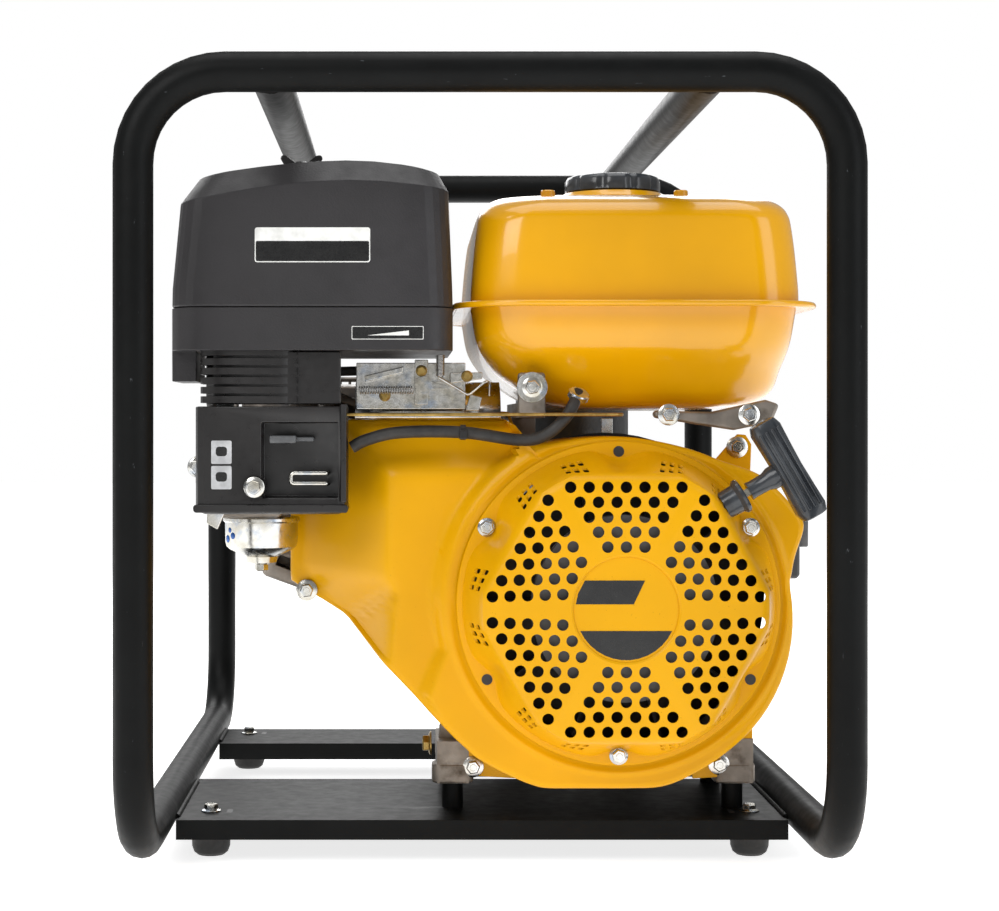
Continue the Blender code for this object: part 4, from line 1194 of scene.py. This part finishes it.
    def rope(self, diameter):
        """Starter rope from the collar to the grip."""
        start = GRIP - PULL_AXIS * 0.050
        end = GRIP - PULL_AXIS * 0.0265
        count, sides = 90, 12
        side = PULL_AXIS.cross(FRONT)
        rings = []
        for i in range(count + 1):
            middle = start.lerp(end, i / count)
            arms = [
                side * math.cos(
                    math.tau * k / sides
                ) + FRONT * math.sin(math.tau * k / sides) for k in range(sides)
            ]
            rings.append([middle + arm * diameter / 2 for arm in arms])
        mesh = bpy.data.meshes.new("starter_rope")
        points, faces = stack(rings)
        mesh.from_pydata([tuple(p) for p in points], [], faces)
        uv = mesh.uv_layers.new(name="Along")
        for loop in mesh.loops:
            level, k = divmod(loop.vertex_index, sides)
            uv.data[loop.index].uv = (k * 16 / sides + level * 0.35, level * 0.35 - k * 16 / sides)
        cleaned(mesh)
        softened(mesh, 60)
        obj = linked("starter_rope", mesh)
        obj.data.materials.append(bpy.data.materials["Braided nylon rope"])
        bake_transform(obj)


# ---------------------------------------------------------------- tank and air cleaner


class PUMP_OT_tank(bpy.types.Operator):
    """Drawn fuel tank, its seam, neck, cap and brackets' bolts."""

    bl_idname = "pump.tank"
    bl_label = "Fuel tank"

    def execute(self, context):
        x, y, seam = (-0.0086, 0.2115), (-0.250, 0.040), 0.378
        upper = (
            (seam + 0.0005, 0.0002, 0.034), (seam + 0.0030, 0.0002, 0.034), (0.392, 0.0006, 0.034),
            (0.420, 0.003, 0.034), (0.440, 0.006, 0.034), (0.4510, 0.0105, 0.034), (0.4580, 0.0185, 0.036),
            (0.4610, 0.0310, 0.038), (0.4628, 0.0520, 0.036), (0.4634, 0.0720, 0.026),
            (0.4634, 0.1000, 0.008)
        )
        rings = []
        for z, inset, corner in eased(upper, 5):
            outline = rounded_rectangle(
                (x[0] + inset, x[1] - inset), (y[0] + inset, y[1] - inset), corner, 12
            )
            rings.append(self.crowned(outline, z))
        piece("tank_upper", stack(rings), *TANK_PAINT, "base", ["fuel_tank_upper"], sharp=50)
        lower = (
            (seam - 0.0005, 0.0002, 0.0002, 0.0002, 0.0002, 0.042),
            (0.372, 0.001, 0.001, 0.001, 0.001, 0.042), (0.352, 0.005, 0.004, 0.004, 0.004, 0.044),
            (0.335, 0.016, 0.008, 0.018, 0.010, 0.046), (0.325, 0.029, 0.0105, 0.026, 0.015, 0.044),
            (0.318, 0.040, 0.0160, 0.032, 0.020, 0.040), (0.3125, 0.052, 0.0270, 0.040, 0.029, 0.034),
            (0.3098, 0.066, 0.044, 0.052, 0.040, 0.026), (0.3092, 0.075, 0.060, 0.066, 0.054, 0.018)
        )
        rings = []
        for z, left, right, front, back, corner in eased(lower, 5):
            outline = rounded_rectangle(
                (x[0] + left, x[1] - right), (y[0] + front, y[1] - back), corner, 12
            )
            rings.append([(a, b, z) for a, b in outline])
        piece("tank_lower", stack(rings), *TANK_PAINT, "base", ["fuel_tank_lower"], sharp=50)
        lip = rounded_rectangle((x[0] - 0.010, x[1] + 0.010), (y[0] - 0.010, y[1] + 0.010), 0.048, 10)
        seam_cage = slab(lip, seam - 0.0016, seam + 0.0016, "xy")
        piece("tank_seam", seam_cage, *TANK_PAINT, "base", bevel=0.0012, segments=3)
        edge = [(a, b, seam) for a, b in lip]
        wire("tank_seam_roll", edge, 0.0021, *TANK_PAINT, "base", closed=True, sides=3)
        self.neck_and_cap()
        self.fixings(context.scene.pump_sizes.bolt)
        return {"FINISHED"}

    def crowned(self, outline, height):
        """One ring of the tank's top, which falls away to the front and back of a ridge under the cap."""
        share = max(0.0, (height - 0.436) / 0.0274)
        points = []
        for i, (a, b) in enumerate(outline):
            c, d = outline[(i + 1) % len(outline)]
            pieces = 8 if i % 13 == 12 else 1
            for k in range(pieces):
                y = b + (d - b) * k / pieces
                fall = 0.105 * (math.hypot(y + 0.105, 0.015) - 0.015)
                points.append((a + (c - a) * k / pieces, y, height - share * fall))
        return points

    def neck_and_cap(self):
        """Filler neck with its rolled lip, and the ten-lobed cap."""
        cap = Vector((0.098, -0.105, 0))
        neck = [
            (0.0310, 0.4655), (0.0355, 0.4650), (0.0375, 0.4632), (0.0400, 0.4612), (0.0400, 0.4550),
            (0.0, 0.4550)
        ]
        turned("filler_neck", [(0.0, 0.4656)] + neck, cap, UP, *TANK_PAINT, "base", steps=48)
        rings = []
        for height, radius, lobe in (
            (0.4658, 0.0330, 0.0), (0.4664, 0.0342, 0.0), (0.4668, 0.0342, 0.0012),
            (0.4690, 0.0345, 0.0022), (0.4740, 0.0343, 0.0024), (0.4764, 0.0330, 0.0020),
            (0.4776, 0.0300, 0.0006), (0.4780, 0.0240, 0.0), (0.4776, 0.0215, 0.0), (0.4776, 0.0060, 0.0)
        ):
            points = []
            for i in range(120):
                a = math.tau * i / 120
                reach = radius - lobe * max(0.0, math.cos(10 * a)) ** 3
                points.append((cap.x + reach * math.cos(a), cap.y + reach * math.sin(a), height))
            rings.append(points)
        piece("filler_cap", stack(rings), *NYLON, "fuel_cap", ["fuel_cap"], sharp=50)

    def fixings(self, size):
        """Bolts and washers on the tank's brackets, its bosses and the hose clip."""
        spots = [
            ((0.0312, -0.2434, 0.3232), FRONT, 10), ((0.1745, -0.2404, 0.3052), FRONT, 20),
            ((0.1215, -0.2404, 0.3052), FRONT, 4)
        ]
        bolts("bracket_bolts", spots, size, washer=1.15)
        washers = [
            moved(
                stack([ring(0.0102, 0, 28), ring(0.0102, 0.0012, 28)]),
                facing((0.0312, -0.2432, 0.3232), FRONT)
            )
        ]
        piece("bracket_washer", joined(washers), *ZINC, "base", bevel=0.0003, segments=1)
        for i, x in enumerate((0.0455, 0.1365)):
            stud = [(0, 0.4590), (0.0042, 0.4590), (0.0048, 0.4583), (0.0052, 0.4520), (0.0, 0.4520)]
            turned(f"tank_stud_{i}", stud, (x, -0.188, 0), UP, *TANK_PAINT, "base", steps=24)
        clip = [(0.0, 0.0012), (0.0064, 0.0012), (0.0072, 0.0004), (0.0072, -0.0030), (0.0, -0.0030)]
        turned("hose_clip", clip, (0.0625, -0.2390, 0.3190), (0.3, -0.5, 0.8), *ZINC, "base", steps=24)


class PUMP_OT_air_cleaner(bpy.types.Operator):
    """Air cleaner cover, base, wing nut and blank labels."""

    bl_idname = "pump.air_cleaner"
    bl_label = "Air cleaner"

    def execute(self, context):
        self.cover()
        refined("air_cleaner_base", *GRAINED_PLASTIC, "base", 0.0016, 3)
        self.wing_nut()
        self.labels()
        return {"FINISHED"}

    def crown(self, x, low_left, peak, low_right, peak_at=-0.086):
        """Height across the cover: a soft rise from the left side to a peak, falling to the right."""
        if x < peak_at:
            share = (x + 0.200) / (peak_at + 0.200)
            return low_left + (peak - low_left) * math.sin(max(0.0, min(1.0, share)) * math.pi / 2)
        share = (x - peak_at) / (-0.021 - peak_at)
        return peak - (peak - low_right) * max(0.0, min(1.0, share)) ** 1.6

    def cover(self):
        """Lofted box whose sides lean in, with a sloping band under a crowned top."""
        x, y = (-0.206, -0.021), (-0.262, -0.080)
        rings = []
        for kind, left, right, front, back, corner, low_left, peak, low_right in (
            ("flat", 0.0006, 0.0006, 0.0006, 0.0006, 0.0205, 0.3754, 0.3754, 0.3754),
            ("flat", 0.0, 0.0, 0.0, 0.0, 0.021, 0.3764, 0.3764, 0.3764),
            ("flat", 0.0002, 0.0003, 0.0003, 0.0003, 0.021, 0.3880, 0.3880, 0.3880),
            ("crown", 0.0050, 0.0028, 0.0042, 0.0042, 0.022, 0.4440, 0.4582, 0.4520),
            ("crown", 0.0160, 0.0090, 0.0190, 0.0190, 0.024, 0.4605, 0.4728, 0.4640),
            ("crown", 0.0440, 0.0380, 0.0480, 0.0480, 0.024, 0.4625, 0.4740, 0.4680)
        ):
            outline = rounded_rectangle((x[0] + left, x[1] - right), (y[0] + front, y[1] - back), corner, 6)
            dense = []
            for i, (a, b) in enumerate(outline):
                c, d = outline[(i + 1) % len(outline)]
                pieces = 6 if i % 7 == 6 else 1
                dense += [(a + (c - a) * k / pieces, b + (d - b) * k / pieces) for k in range(pieces)]
            level = [
                (a, b, low_left if kind == "flat" else self.crown(a, low_left, peak, low_right)) for a,
                b in dense
            ]
            rings.append(level)
        piece("cleaner_cover", stack(rings), *GRAINED_PLASTIC, "air_cover",
              ["air_cleaner_cover"], bevel=0.0026, segments=3, angle=14, sharp=40)

    def wing_nut(self):
        """Moulded nut with two wings on the cover's stud."""
        middle = Vector((-0.124, -0.171, 0))
        hub = [(0, 0.4806), (0.0035, 0.4806), (0.0055, 0.4796), (0.0062, 0.4745), (0.0, 0.4745)]
        turned("wing_hub", hub, middle, UP, *SMOOTH_PLASTIC, "wing_nut", ["wing_nut"], 28)
        wings = []
        for side in (-1, 1):
            outline = [
                (0.003, 0.4748), (0.0115, 0.4775), (0.0148, 0.4830), (0.0135, 0.4853), (0.0105, 0.4850),
                (0.0040, 0.4800)
            ]
            wings.append(
                slab([(middle.x + side * u, z) for u, z in outline], middle.y - 0.0022, middle.y + 0.0022)
            )
        piece("wing_blades", joined(wings), *SMOOTH_PLASTIC, "wing_nut", bevel=0.001, segments=2)

    def labels(self):
        """Blank film labels: a white-headed black one on the cover and a small one with a wedge below."""
        lean = 0.0039 / 0.0670

        def on_cover(outline, proud):
            ends = []
            for lift in (-0.0004, proud):
                ends.append([(u, -0.2617 + (v - 0.388) * lean - lift, v) for u, v in outline])
            return stack(ends)

        field = rounded_rectangle((-0.1503, -0.0752), (0.4042, 0.4270), 0.0016, 3)
        inner = rounded_rectangle((-0.1496, -0.0759), (0.4049, 0.4181), 0.0010, 3)
        piece("cover_label", on_cover(field, 0.00030), "White film label", "grey_plastic", "air_cover")
        piece(
            "cover_label_field", on_cover(inner, 0.00042), "Black film label", "black_plastic", "air_cover"
        )
        small = rounded_rectangle((-0.0872, -0.0405), (0.3540, 0.3626), 0.0006, 2)
        edge = rounded_rectangle((-0.0868, -0.0409), (0.3544, 0.3622), 0.0005, 2)
        wedge = [(-0.0770, 0.3566), (-0.0500, 0.3566), (-0.0500, 0.3598)]
        piece("base_label", slab(small, -0.2622, -0.2618), "White film label", "grey_plastic", "base")
        piece(
            "base_label_field", slab(edge, -0.26228, -0.2618), "Black film label", "black_plastic", "base"
        )
        piece(
            "base_label_wedge", slab(wedge, -0.26236, -0.2618), "White film label", "grey_plastic", "base"
        )


# ---------------------------------------------------------------- intake and controls


class PUMP_OT_intake(bpy.types.Operator):
    """Ribbed intake cover, its two levers, nuts and the carburettor's bowl."""

    bl_idname = "pump.intake"
    bl_label = "Intake and carburettor"

    def execute(self, context):
        refined("intake_cover", *SMOOTH_PLASTIC, "base", 0.0012, 3, below=0.3105)
        self.ribs()
        self.details(context.scene.pump_sizes.bolt)
        self.levers()
        self.bowl(context.scene.pump_sizes.bolt)
        return {"FINISHED"}

    def ribs(self):
        """Six round-fronted ribs of the bellows-like neck under the cleaner."""
        slabs = []
        for i in range(6):
            z = 0.3128 + 0.0062 * i
            outline = [(-0.1228, -0.2290), (-0.1228, -0.2585)]
            outline += [
                (
                    -0.1548 - 0.0318 * math.sin(math.radians(a)),
                    -0.2492 - 0.0098 * math.cos(math.radians(a))
                ) for a in range(-90, 91, 18)
            ]
            outline += [(-0.1866, -0.2290)]
            points = [(x, y) for x, y in outline]
            slabs.append(slab(points, z, z + 0.0044, "xy"))
        piece("neck_ribs", joined(slabs), *SMOOTH_PLASTIC, "base", bevel=0.0011, segments=3)
        core = [
            (-0.0950, -0.2300), (-0.0950, -0.2520), (-0.1260, -0.2550), (-0.1560, -0.2550),
            (-0.1780, -0.2480), (-0.1840, -0.2380), (-0.1840, -0.2300)
        ]
        flange = slab(
            [(-0.0945, 0.2480), (-0.0905, 0.2480), (-0.0905, 0.3120), (-0.0945, 0.3120)], -0.2615, -0.2300
        )
        lip = slab(rounded_rectangle((-0.1905, -0.0895), (0.2412, 0.2466), 0.002, 3), -0.2606, -0.2300)
        piece(
            "neck_core", joined([slab(core, 0.3120, 0.3466, "xy"), flange, lip]), *SMOOTH_PLASTIC, "base",
            bevel=0.0009, segments=2
        )

    def details(self, size):
        """Round bosses with flange nuts, and two blank silver squares."""
        spots = []
        for i, (x, z, y) in enumerate(((-0.1885, 0.2708, -0.2425), (-0.1505, 0.2580, -0.2600))):
            boss = [(0, 0.0035), (0.0066, 0.0035), (0.0071, 0.0028), (0.0074, -0.008), (0.0, -0.008)]
            turned(f"neck_boss_{i}", boss, (x, y, z), FRONT, *SMOOTH_PLASTIC, "base", steps=32)
            spots.append(((x, y - 0.0034, z), FRONT, 11 + 30 * i))
        bolts("neck_nuts", spots, size, washer=1.1, height=0.85)
        squares = []
        marks = []
        for z in (0.2565, 0.2730):
            squares.append(
                slab(rounded_rectangle((-0.1788, -0.1655), (z, z + 0.0152), 0.0009, 2), -0.2585, -0.2578)
            )
            marks.append(
                slab(
                    rounded_rectangle((-0.1758, -0.1685), (z + 0.0050, z + 0.0112), 0.0020, 3), -0.25862,
                    -0.2578
                )
            )
        piece("neck_labels", joined(squares), "Silver film label", "grey_plastic", "base")
        piece("neck_label_marks", joined(marks), "Black film label", "black_plastic", "base")

    def levers(self):
        """Choke knob with its stalk, and the fuel tap's bright U-shaped lever."""
        low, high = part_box("choke_lever")
        knob = box((low.x, low.y, low.z), (low.x + 0.0175, low.y + 0.0075, high.z))
        stalk = box((low.x + 0.003, low.y + 0.007, low.z + 0.001), (high.x, high.y, high.z - 0.001))
        piece(
            "choke_knob", joined([knob, stalk]), "Grey acetal", "grey_plastic", "choke", ["choke_lever"],
            bevel=0.0011, segments=2
        )
        low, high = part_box("fuel_valve_lever")
        middle = (low.z + high.z) / 2
        loop = rounded_path(
            [
                (high.x - 0.002, high.y, middle + 0.0034), (high.x - 0.002, low.y + 0.003, middle + 0.0034),
                (low.x + 0.003, low.y + 0.003, middle + 0.0034),
                (low.x + 0.003, low.y + 0.003, middle - 0.0034),
                (high.x - 0.002, low.y + 0.003, middle - 0.0034), (high.x - 0.002, high.y, middle - 0.0034)
            ],
            0.0021, 5
        )
        wire("fuel_tap_lever", loop, 0.0015, *ZINC, "fuel_valve", ["fuel_valve_lever"], sides=3)

    def bowl(self, size):
        """Float bowl, its bolt, and the paint dabs on its wall."""
        at = Vector((-0.150, -0.197, 0))
        profile = [
            (0.0, 0.2362), (0.0255, 0.2362), (0.0262, 0.2352), (0.0262, 0.2334), (0.0248, 0.2322),
            (0.0246, 0.2190), (0.0236, 0.2158), (0.0215, 0.2140), (0.0150, 0.2108), (0.0110, 0.2090),
            (0.0100, 0.2050), (0.0, 0.2050)
        ]
        turned("float_chamber", profile, at, UP, *ZINC, "base", ["float_bowl"], 48)
        bolts("bowl_bolt", [((at.x, at.y, 0.2052), DOWN, 10)], size * 0.95, height=0.75)
        dabs = []
        for degrees, z, r in ((206, 0.2215, 0.0030), (222, 0.2238, 0.0026), (214, 0.2275, 0.0021)):
            out = Vector((math.cos(math.radians(degrees)), math.sin(math.radians(degrees)), 0))
            dab = [ring(r, 0.0, 9), ring(r, 0.0006, 9), ring(r * 0.6, 0.0011, 9)]
            dabs.append(moved(stack(dab), facing(Vector((at.x, at.y, z)) + out * 0.0242, out)))
        piece("paint_dabs", joined(dabs), "Blue marking lacquer", "grey_plastic", "base", levels=2)
        lever = [
            (-0.1835, 0.2480), (-0.1742, 0.2520), (-0.1722, 0.2400), (-0.1770, 0.2290), (-0.1842, 0.2330)
        ]
        piece("choke_arm", slab(lever, -0.2320, -0.2300), *ZINC, "base", bevel=0.0006, segments=2)


class PUMP_OT_controls(bpy.types.Operator):
    """Heat shield, throttle plate, springs, governor arm and rod."""

    bl_idname = "pump.controls"
    bl_label = "Engine controls"

    def execute(self, context):
        self.shield()
        refined("control_plate", *ZINC, "base", 0.0006, 2)
        refined("throttle_lever", *ZINC, "throttle", 0.0005, 2)
        refined("governor_arm", *ZINC, "governor", 0.0005, 2)
        self.rod()
        self.trim(context.scene.pump_sizes.bolt)
        return {"FINISHED"}

    def shield(self):
        """Curved bright sheet between the carburettor and the head, with a rolled lower edge."""
        low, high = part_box("heat_shield")
        profile = []
        for i in range(13):
            a = math.radians(-8 + 70 * i / 12)
            profile.append((low.y + 0.046 * (1 - math.cos(a)), low.z + 0.002 + 0.0245 * math.sin(a)))
        front = [[(x, y, z) for y, z in profile] for x in (low.x, low.x + 0.03, high.x - 0.03, high.x)]
        points = [Vector(p) for row in front for p in row]
        count = len(profile)
        faces = []
        for row in range(3):
            for i in range(count - 1):
                faces.append(
                    (row * count + i, (row + 1) * count + i, (row + 1) * count + i + 1, row * count + i + 1)
                )
        mesh = bpy.data.meshes.new("bright_shield")
        mesh.from_pydata([tuple(p) for p in points], [], faces)
        softened(mesh, 60)
        obj = linked("bright_shield", mesh)
        sheet = obj.modifiers.new("Sheet", "SOLIDIFY")
        sheet.thickness = 0.0009
        sheet.offset = 0
        dressed(obj, *ZINC, "base", ["heat_shield"])
        roll = [(x, low.y - 0.0006, low.z + 0.0006) for x in (low.x, high.x)]
        wire("shield_roll", roll, 0.0014, *ZINC, "base", sides=3)

    def rod(self):
        """Governor rod across the front, bent back at its ends."""
        corners = [(-0.098, -0.2525, 0.3052), (0.090, -0.2525, 0.3052), (0.090, -0.1470, 0.3052)]
        wire(
            "governor_wire", rounded_path(corners, 0.006, 6), 0.0012, "Brass", "zinc", "governor_link",
            ["governor_rod"], sides=3
        )

    def trim(self, size):
        """Straps, springs, screws and bent wires above the shield."""
        straps = [
            slab(
                [(-0.0460, 0.3120), (-0.0370, 0.3120), (-0.0370, 0.3420), (-0.0460, 0.3420)], -0.2245,
                -0.2228
            ),
            slab(
                [(-0.0225, 0.3260), (-0.0010, 0.3290), (-0.0010, 0.3335), (-0.0225, 0.3330)], -0.2285,
                -0.2268
            ),
            slab(
                [(-0.0790, 0.3270), (-0.0540, 0.3330), (-0.0535, 0.3372), (-0.0795, 0.3310)], -0.2320,
                -0.2222
            ),
            slab(
                [(-0.0120, 0.3080), (-0.0030, 0.3080), (-0.0010, 0.3170), (-0.0090, 0.3190)], -0.2240,
                -0.2224
            )
        ]
        piece("control_straps", joined(straps), *ZINC, "base", bevel=0.0006, segments=2)
        spots = [
            ((-0.0415, -0.2247, 0.3345), FRONT, 20), ((-0.0112, -0.2287, 0.3308), FRONT, 5),
            ((-0.0660, -0.2222, 0.3180), FRONT, 0)
        ]
        bolts("control_screws", spots, size * 0.62, material="Brass")
        coils = []
        for k in range(15 * 10 + 1):
            a = math.tau * k / 10
            coils.append(
                (-0.0290 + 0.0024 * math.cos(a), -0.2330 + 0.0024 * math.sin(a), 0.3305 + 0.0140 * k / 150)
            )
        wire("stop_spring", coils, 0.0005, *STEEL, "base", sides=2)
        pull = []
        for k in range(22 * 10 + 1):
            a = math.tau * k / 10
            pull.append(
                (-0.0830 + 0.036 * k / 220, -0.2385 + 0.0024 * math.cos(a), 0.3215 + 0.0024 * math.sin(a))
            )
        wire("governor_spring", pull, 0.0004, *STEEL, "base", sides=2)
        link = rounded_path(
            [
                (-0.0300, -0.2300, 0.3300), (-0.0100, -0.2310, 0.3180), (0.0040, -0.2310, 0.3300),
                (0.0040, -0.2240, 0.3180)
            ],
            0.003, 5
        )
        wire("linkage_wire", link, 0.0009, *ZINC, "base", sides=3)


class PUMP_OT_hose_and_electrics(bpy.types.Operator):
    """Fuel hose with its tie, the stop switch and its lead."""

    bl_idname = "pump.hose_and_electrics"
    bl_label = "Hose and electrics"

    def execute(self, context):
        sizes = context.scene.pump_sizes
        route = [
            (-0.0876, -0.2468, 0.2835), (-0.0780, -0.2468, 0.2885), (-0.0558, -0.2468, 0.2935),
            (-0.0144, -0.2468, 0.2935), (0.0230, -0.2468, 0.2885), (0.0393, -0.2466, 0.2915),
            (0.0520, -0.2462, 0.3020), (0.0585, -0.2435, 0.3120), (0.0620, -0.2360, 0.3200)
        ]
        wire("rubber_hose", eased(route, 8), sizes.hose / 2, *RUBBER, "base", ["fuel_hose"], sides=4)
        band = [(0.0, 0.0018), (0.0050, 0.0018), (0.0050, -0.0018), (0.0, -0.0018)]
        turned("hose_tie", band, (-0.0144, -0.2468, 0.2935), RIGHT, *SMOOTH_PLASTIC, "base", steps=24)
        lock = box((-0.0170, -0.2535, 0.2890), (-0.0118, -0.2500, 0.2950))
        piece("tie_lock", lock, *SMOOTH_PLASTIC, "base", bevel=0.0007, segments=2)
        refined("switch_box", *SMOOTH_PLASTIC, "base", 0.0018, 3)
        refined("engine_switch", "Grey acetal", "grey_plastic", "stop_switch", 0.0012, 3)
        lead = [
            (0.2000, -0.1060, 0.2000), (0.2000, -0.0900, 0.2000), (0.1960, -0.0600, 0.2200),
            (0.1700, -0.0300, 0.2600)
        ]
        wire("switch_lead", rounded_path(lead, 0.008, 5), 0.0022, *RUBBER, "base", sides=3)
        return {"FINISHED"}


# ---------------------------------------------------------------- pump


class PUMP_OT_pump(bpy.types.Operator):
    """Pump casing, cover, ports, plugs, knobs and bolts."""

    bl_idname = "pump.pump"
    bl_label = "Pump"

    def execute(self, context):
        size = context.scene.pump_sizes.bolt
        refined("pump_casing", *IRON, "base", 0.0022, 3)
        refined("pump_cover", *IRON, "pump_cover", 0.0016, 2)
        refined("pump_adapter", *CASTING, "base", 0.0018, 2)
        refined("suction_port", *CASTING, "pump_cover", 0.0014, 2)
        refined("discharge_port", *CASTING, "base", 0.0014, 2)
        refined("priming_plug", *CASTING, "priming_plug", 0.0010, 2)
        refined("drain_plug", *CASTING, "drain_plug", 0.0008, 2)
        self.knobs()
        self.port_bolts(size)
        return {"FINISHED"}

    def knobs(self):
        """Two hand knobs that hold the cover: a bar on a boss and its stud."""
        for i, body in enumerate(("knob_left", "knob_right")):
            refined(f"cover_knob_{i + 1}", *NYLON, body, 0.0022, 3)

    def port_bolts(self, size):
        """Bolts through the discharge and suction port flanges."""
        spots = []
        for angle in (45, 135, 225, 315):
            a = math.radians(angle)
            spots.append(((0.088 + 0.0525 * math.cos(a), 0.130 + 0.0525 * math.sin(a), 0.3971), UP, angle))
        bolts("discharge_bolts", spots, size * 1.1)
        spots = []
        for angle in (45, 135, 225, 315):
            a = math.radians(angle)
            spots.append(
                ((0.088 + 0.0540 * math.cos(a), 0.2240, 0.230 + 0.0540 * math.sin(a)), REAR, angle)
            )
        bolts("suction_bolts", spots, size * 1.1, "pump_cover")


# ---------------------------------------------------------------- studio


class PUMP_OT_studio(bpy.types.Operator):
    """Pale floor, soft lights and the camera."""

    bl_idname = "pump.studio"
    bl_label = "Studio"

    def execute(self, context):
        camera = linked("camera", bpy.data.cameras.new("camera"))
        camera.location = (-0.0558, -1.625, 0.299)
        camera.rotation_euler = (math.radians(90), 0, 0)
        camera.data.lens = 75.6
        camera.data.sensor_width = 36
        camera.data.shift_x = 0.0996
        camera.data.shift_y = -0.0315
        context.scene.camera = camera
        context.scene.view_settings.view_transform = "Standard"
        context.scene.view_settings.look = "None"
        self.floor()
        for name, place, aim, size, power, colour in (
            ("key", (-1.3, -2.0, 1.7), (0, -0.1, 0.25), (1.6, 1.2), 29, "#FFFFFF"),
            ("fill", (1.7, -1.5, 0.9), (0.05, -0.1, 0.25), (0.9, 1.6), 10, "#F6FAFF"),
            ("top", (0.1, -0.2, 2.3), (0, 0, 0.3), (2.0, 1.6), 23, "#FFFFFF"),
            ("back", (-0.3, 2.2, 1.4), (0, 0, 0.3), (2.2, 1.2), 30, "#FFFFFF")
        ):
            data = bpy.data.lights.new(name, "AREA")
            data.shape = "RECTANGLE"
            data.size, data.size_y = size
            data.energy = power
            data.color = linear(colour)[:3]
            light = linked(name, data)
            light.location = place
            light.rotation_euler = (Vector(aim) - Vector(place)).to_track_quat("-Z", "Y").to_euler()
        world = bpy.data.worlds.new("studio")
        context.scene.world = world
        world.use_nodes = True
        tree = world.node_tree
        tree.nodes["Background"].inputs["Color"].default_value = linear("#FFFFFF")
        tree.nodes["Background"].inputs["Strength"].default_value = 0.34
        plain = add(tree, "Background", {"Color": linear("#FFFFFF"), "Strength": 1.0})
        seen = add(tree, "LightPath").outputs["Is Camera Ray"]
        mix = add(tree, "MixShader", {0: seen, 1: tree.nodes["Background"].outputs[0], 2: plain.outputs[0]})
        tree.links.new(mix.outputs[0], tree.nodes["World Output"].inputs["Surface"])
        return {"FINISHED"}

    def floor(self):
        """A wide pale floor."""
        mesh = bpy.data.meshes.new("floor")
        mesh.from_pydata([(-9, -9, 0), (9, -9, 0), (9, 9, 0), (-9, 9, 0)], [], [(0, 1, 2, 3)])
        floor = linked("floor", mesh)
        material = bpy.data.materials.new("White studio paper")
        material.use_nodes = True
        tree = material.node_tree
        shader = tree.nodes["Principled BSDF"]
        place = add(tree, "TexCoord").outputs["Object"]
        fibre = add(tree, "TexNoise", {"Vector": place, "Scale": 40.0, "Detail": 2.0}).outputs["Fac"]
        tone = add(
            tree, "Mix", {0: fibre, 6: linear("#F7F7F6"), 7: linear("#FBFBFA")}, data_type="RGBA"
        ).outputs[2]
        tree.links.new(tone, shader.inputs["Base Color"])
        shader.inputs["Roughness"].default_value = 0.8
        shader.inputs["Emission Color"].default_value = linear("#FFFFFF")
        shader.inputs["Emission Strength"].default_value = 0.78
        mesh.materials.append(material)


class PUMP_PT_panel(bpy.types.Panel):
    """The pump's sizes, colours and steps."""

    bl_label = "Trash Pump"
    bl_idname = "PUMP_PT_panel"
    bl_space_type = "VIEW_3D"
    bl_region_type = "UI"
    bl_category = "Trash Pump"

    def draw(self, context):
        for group in (context.scene.pump_sizes, context.scene.pump_colours):
            column = self.layout.column(align=True)
            for name in group.bl_rna.properties.keys():
                if name not in ("rna_type", "name"):
                    column.prop(group, name)
        column = self.layout.column(align=True)
        for step in STEPS:
            column.operator(step.bl_idname)


STEPS = (
    PUMP_OT_studio, PUMP_OT_finishes, PUMP_OT_carrying_frame, PUMP_OT_castings, PUMP_OT_shroud,
    PUMP_OT_recoil, PUMP_OT_tank, PUMP_OT_air_cleaner, PUMP_OT_intake, PUMP_OT_controls,
    PUMP_OT_hose_and_electrics, PUMP_OT_pump
)
CLASSES = (PumpSizes, PumpColours, *STEPS, PUMP_PT_panel)


def register():
    """Registers the classes and hangs the properties on the scene."""
    for cls in CLASSES:
        bpy.utils.register_class(cls)
    bpy.types.Scene.pump_sizes = bpy.props.PointerProperty(type=PumpSizes)
    bpy.types.Scene.pump_colours = bpy.props.PointerProperty(type=PumpColours)


def unregister():
    """Takes the properties and classes away again."""
    del bpy.types.Scene.pump_colours
    del bpy.types.Scene.pump_sizes
    for cls in reversed(CLASSES):
        bpy.utils.unregister_class(cls)


def main():
    """Runs every step in order."""
    register()
    for step in STEPS:
        group, name = step.bl_idname.split(".")
        getattr(getattr(bpy.ops, group), name)()


if __name__ == "__main__":
    main()
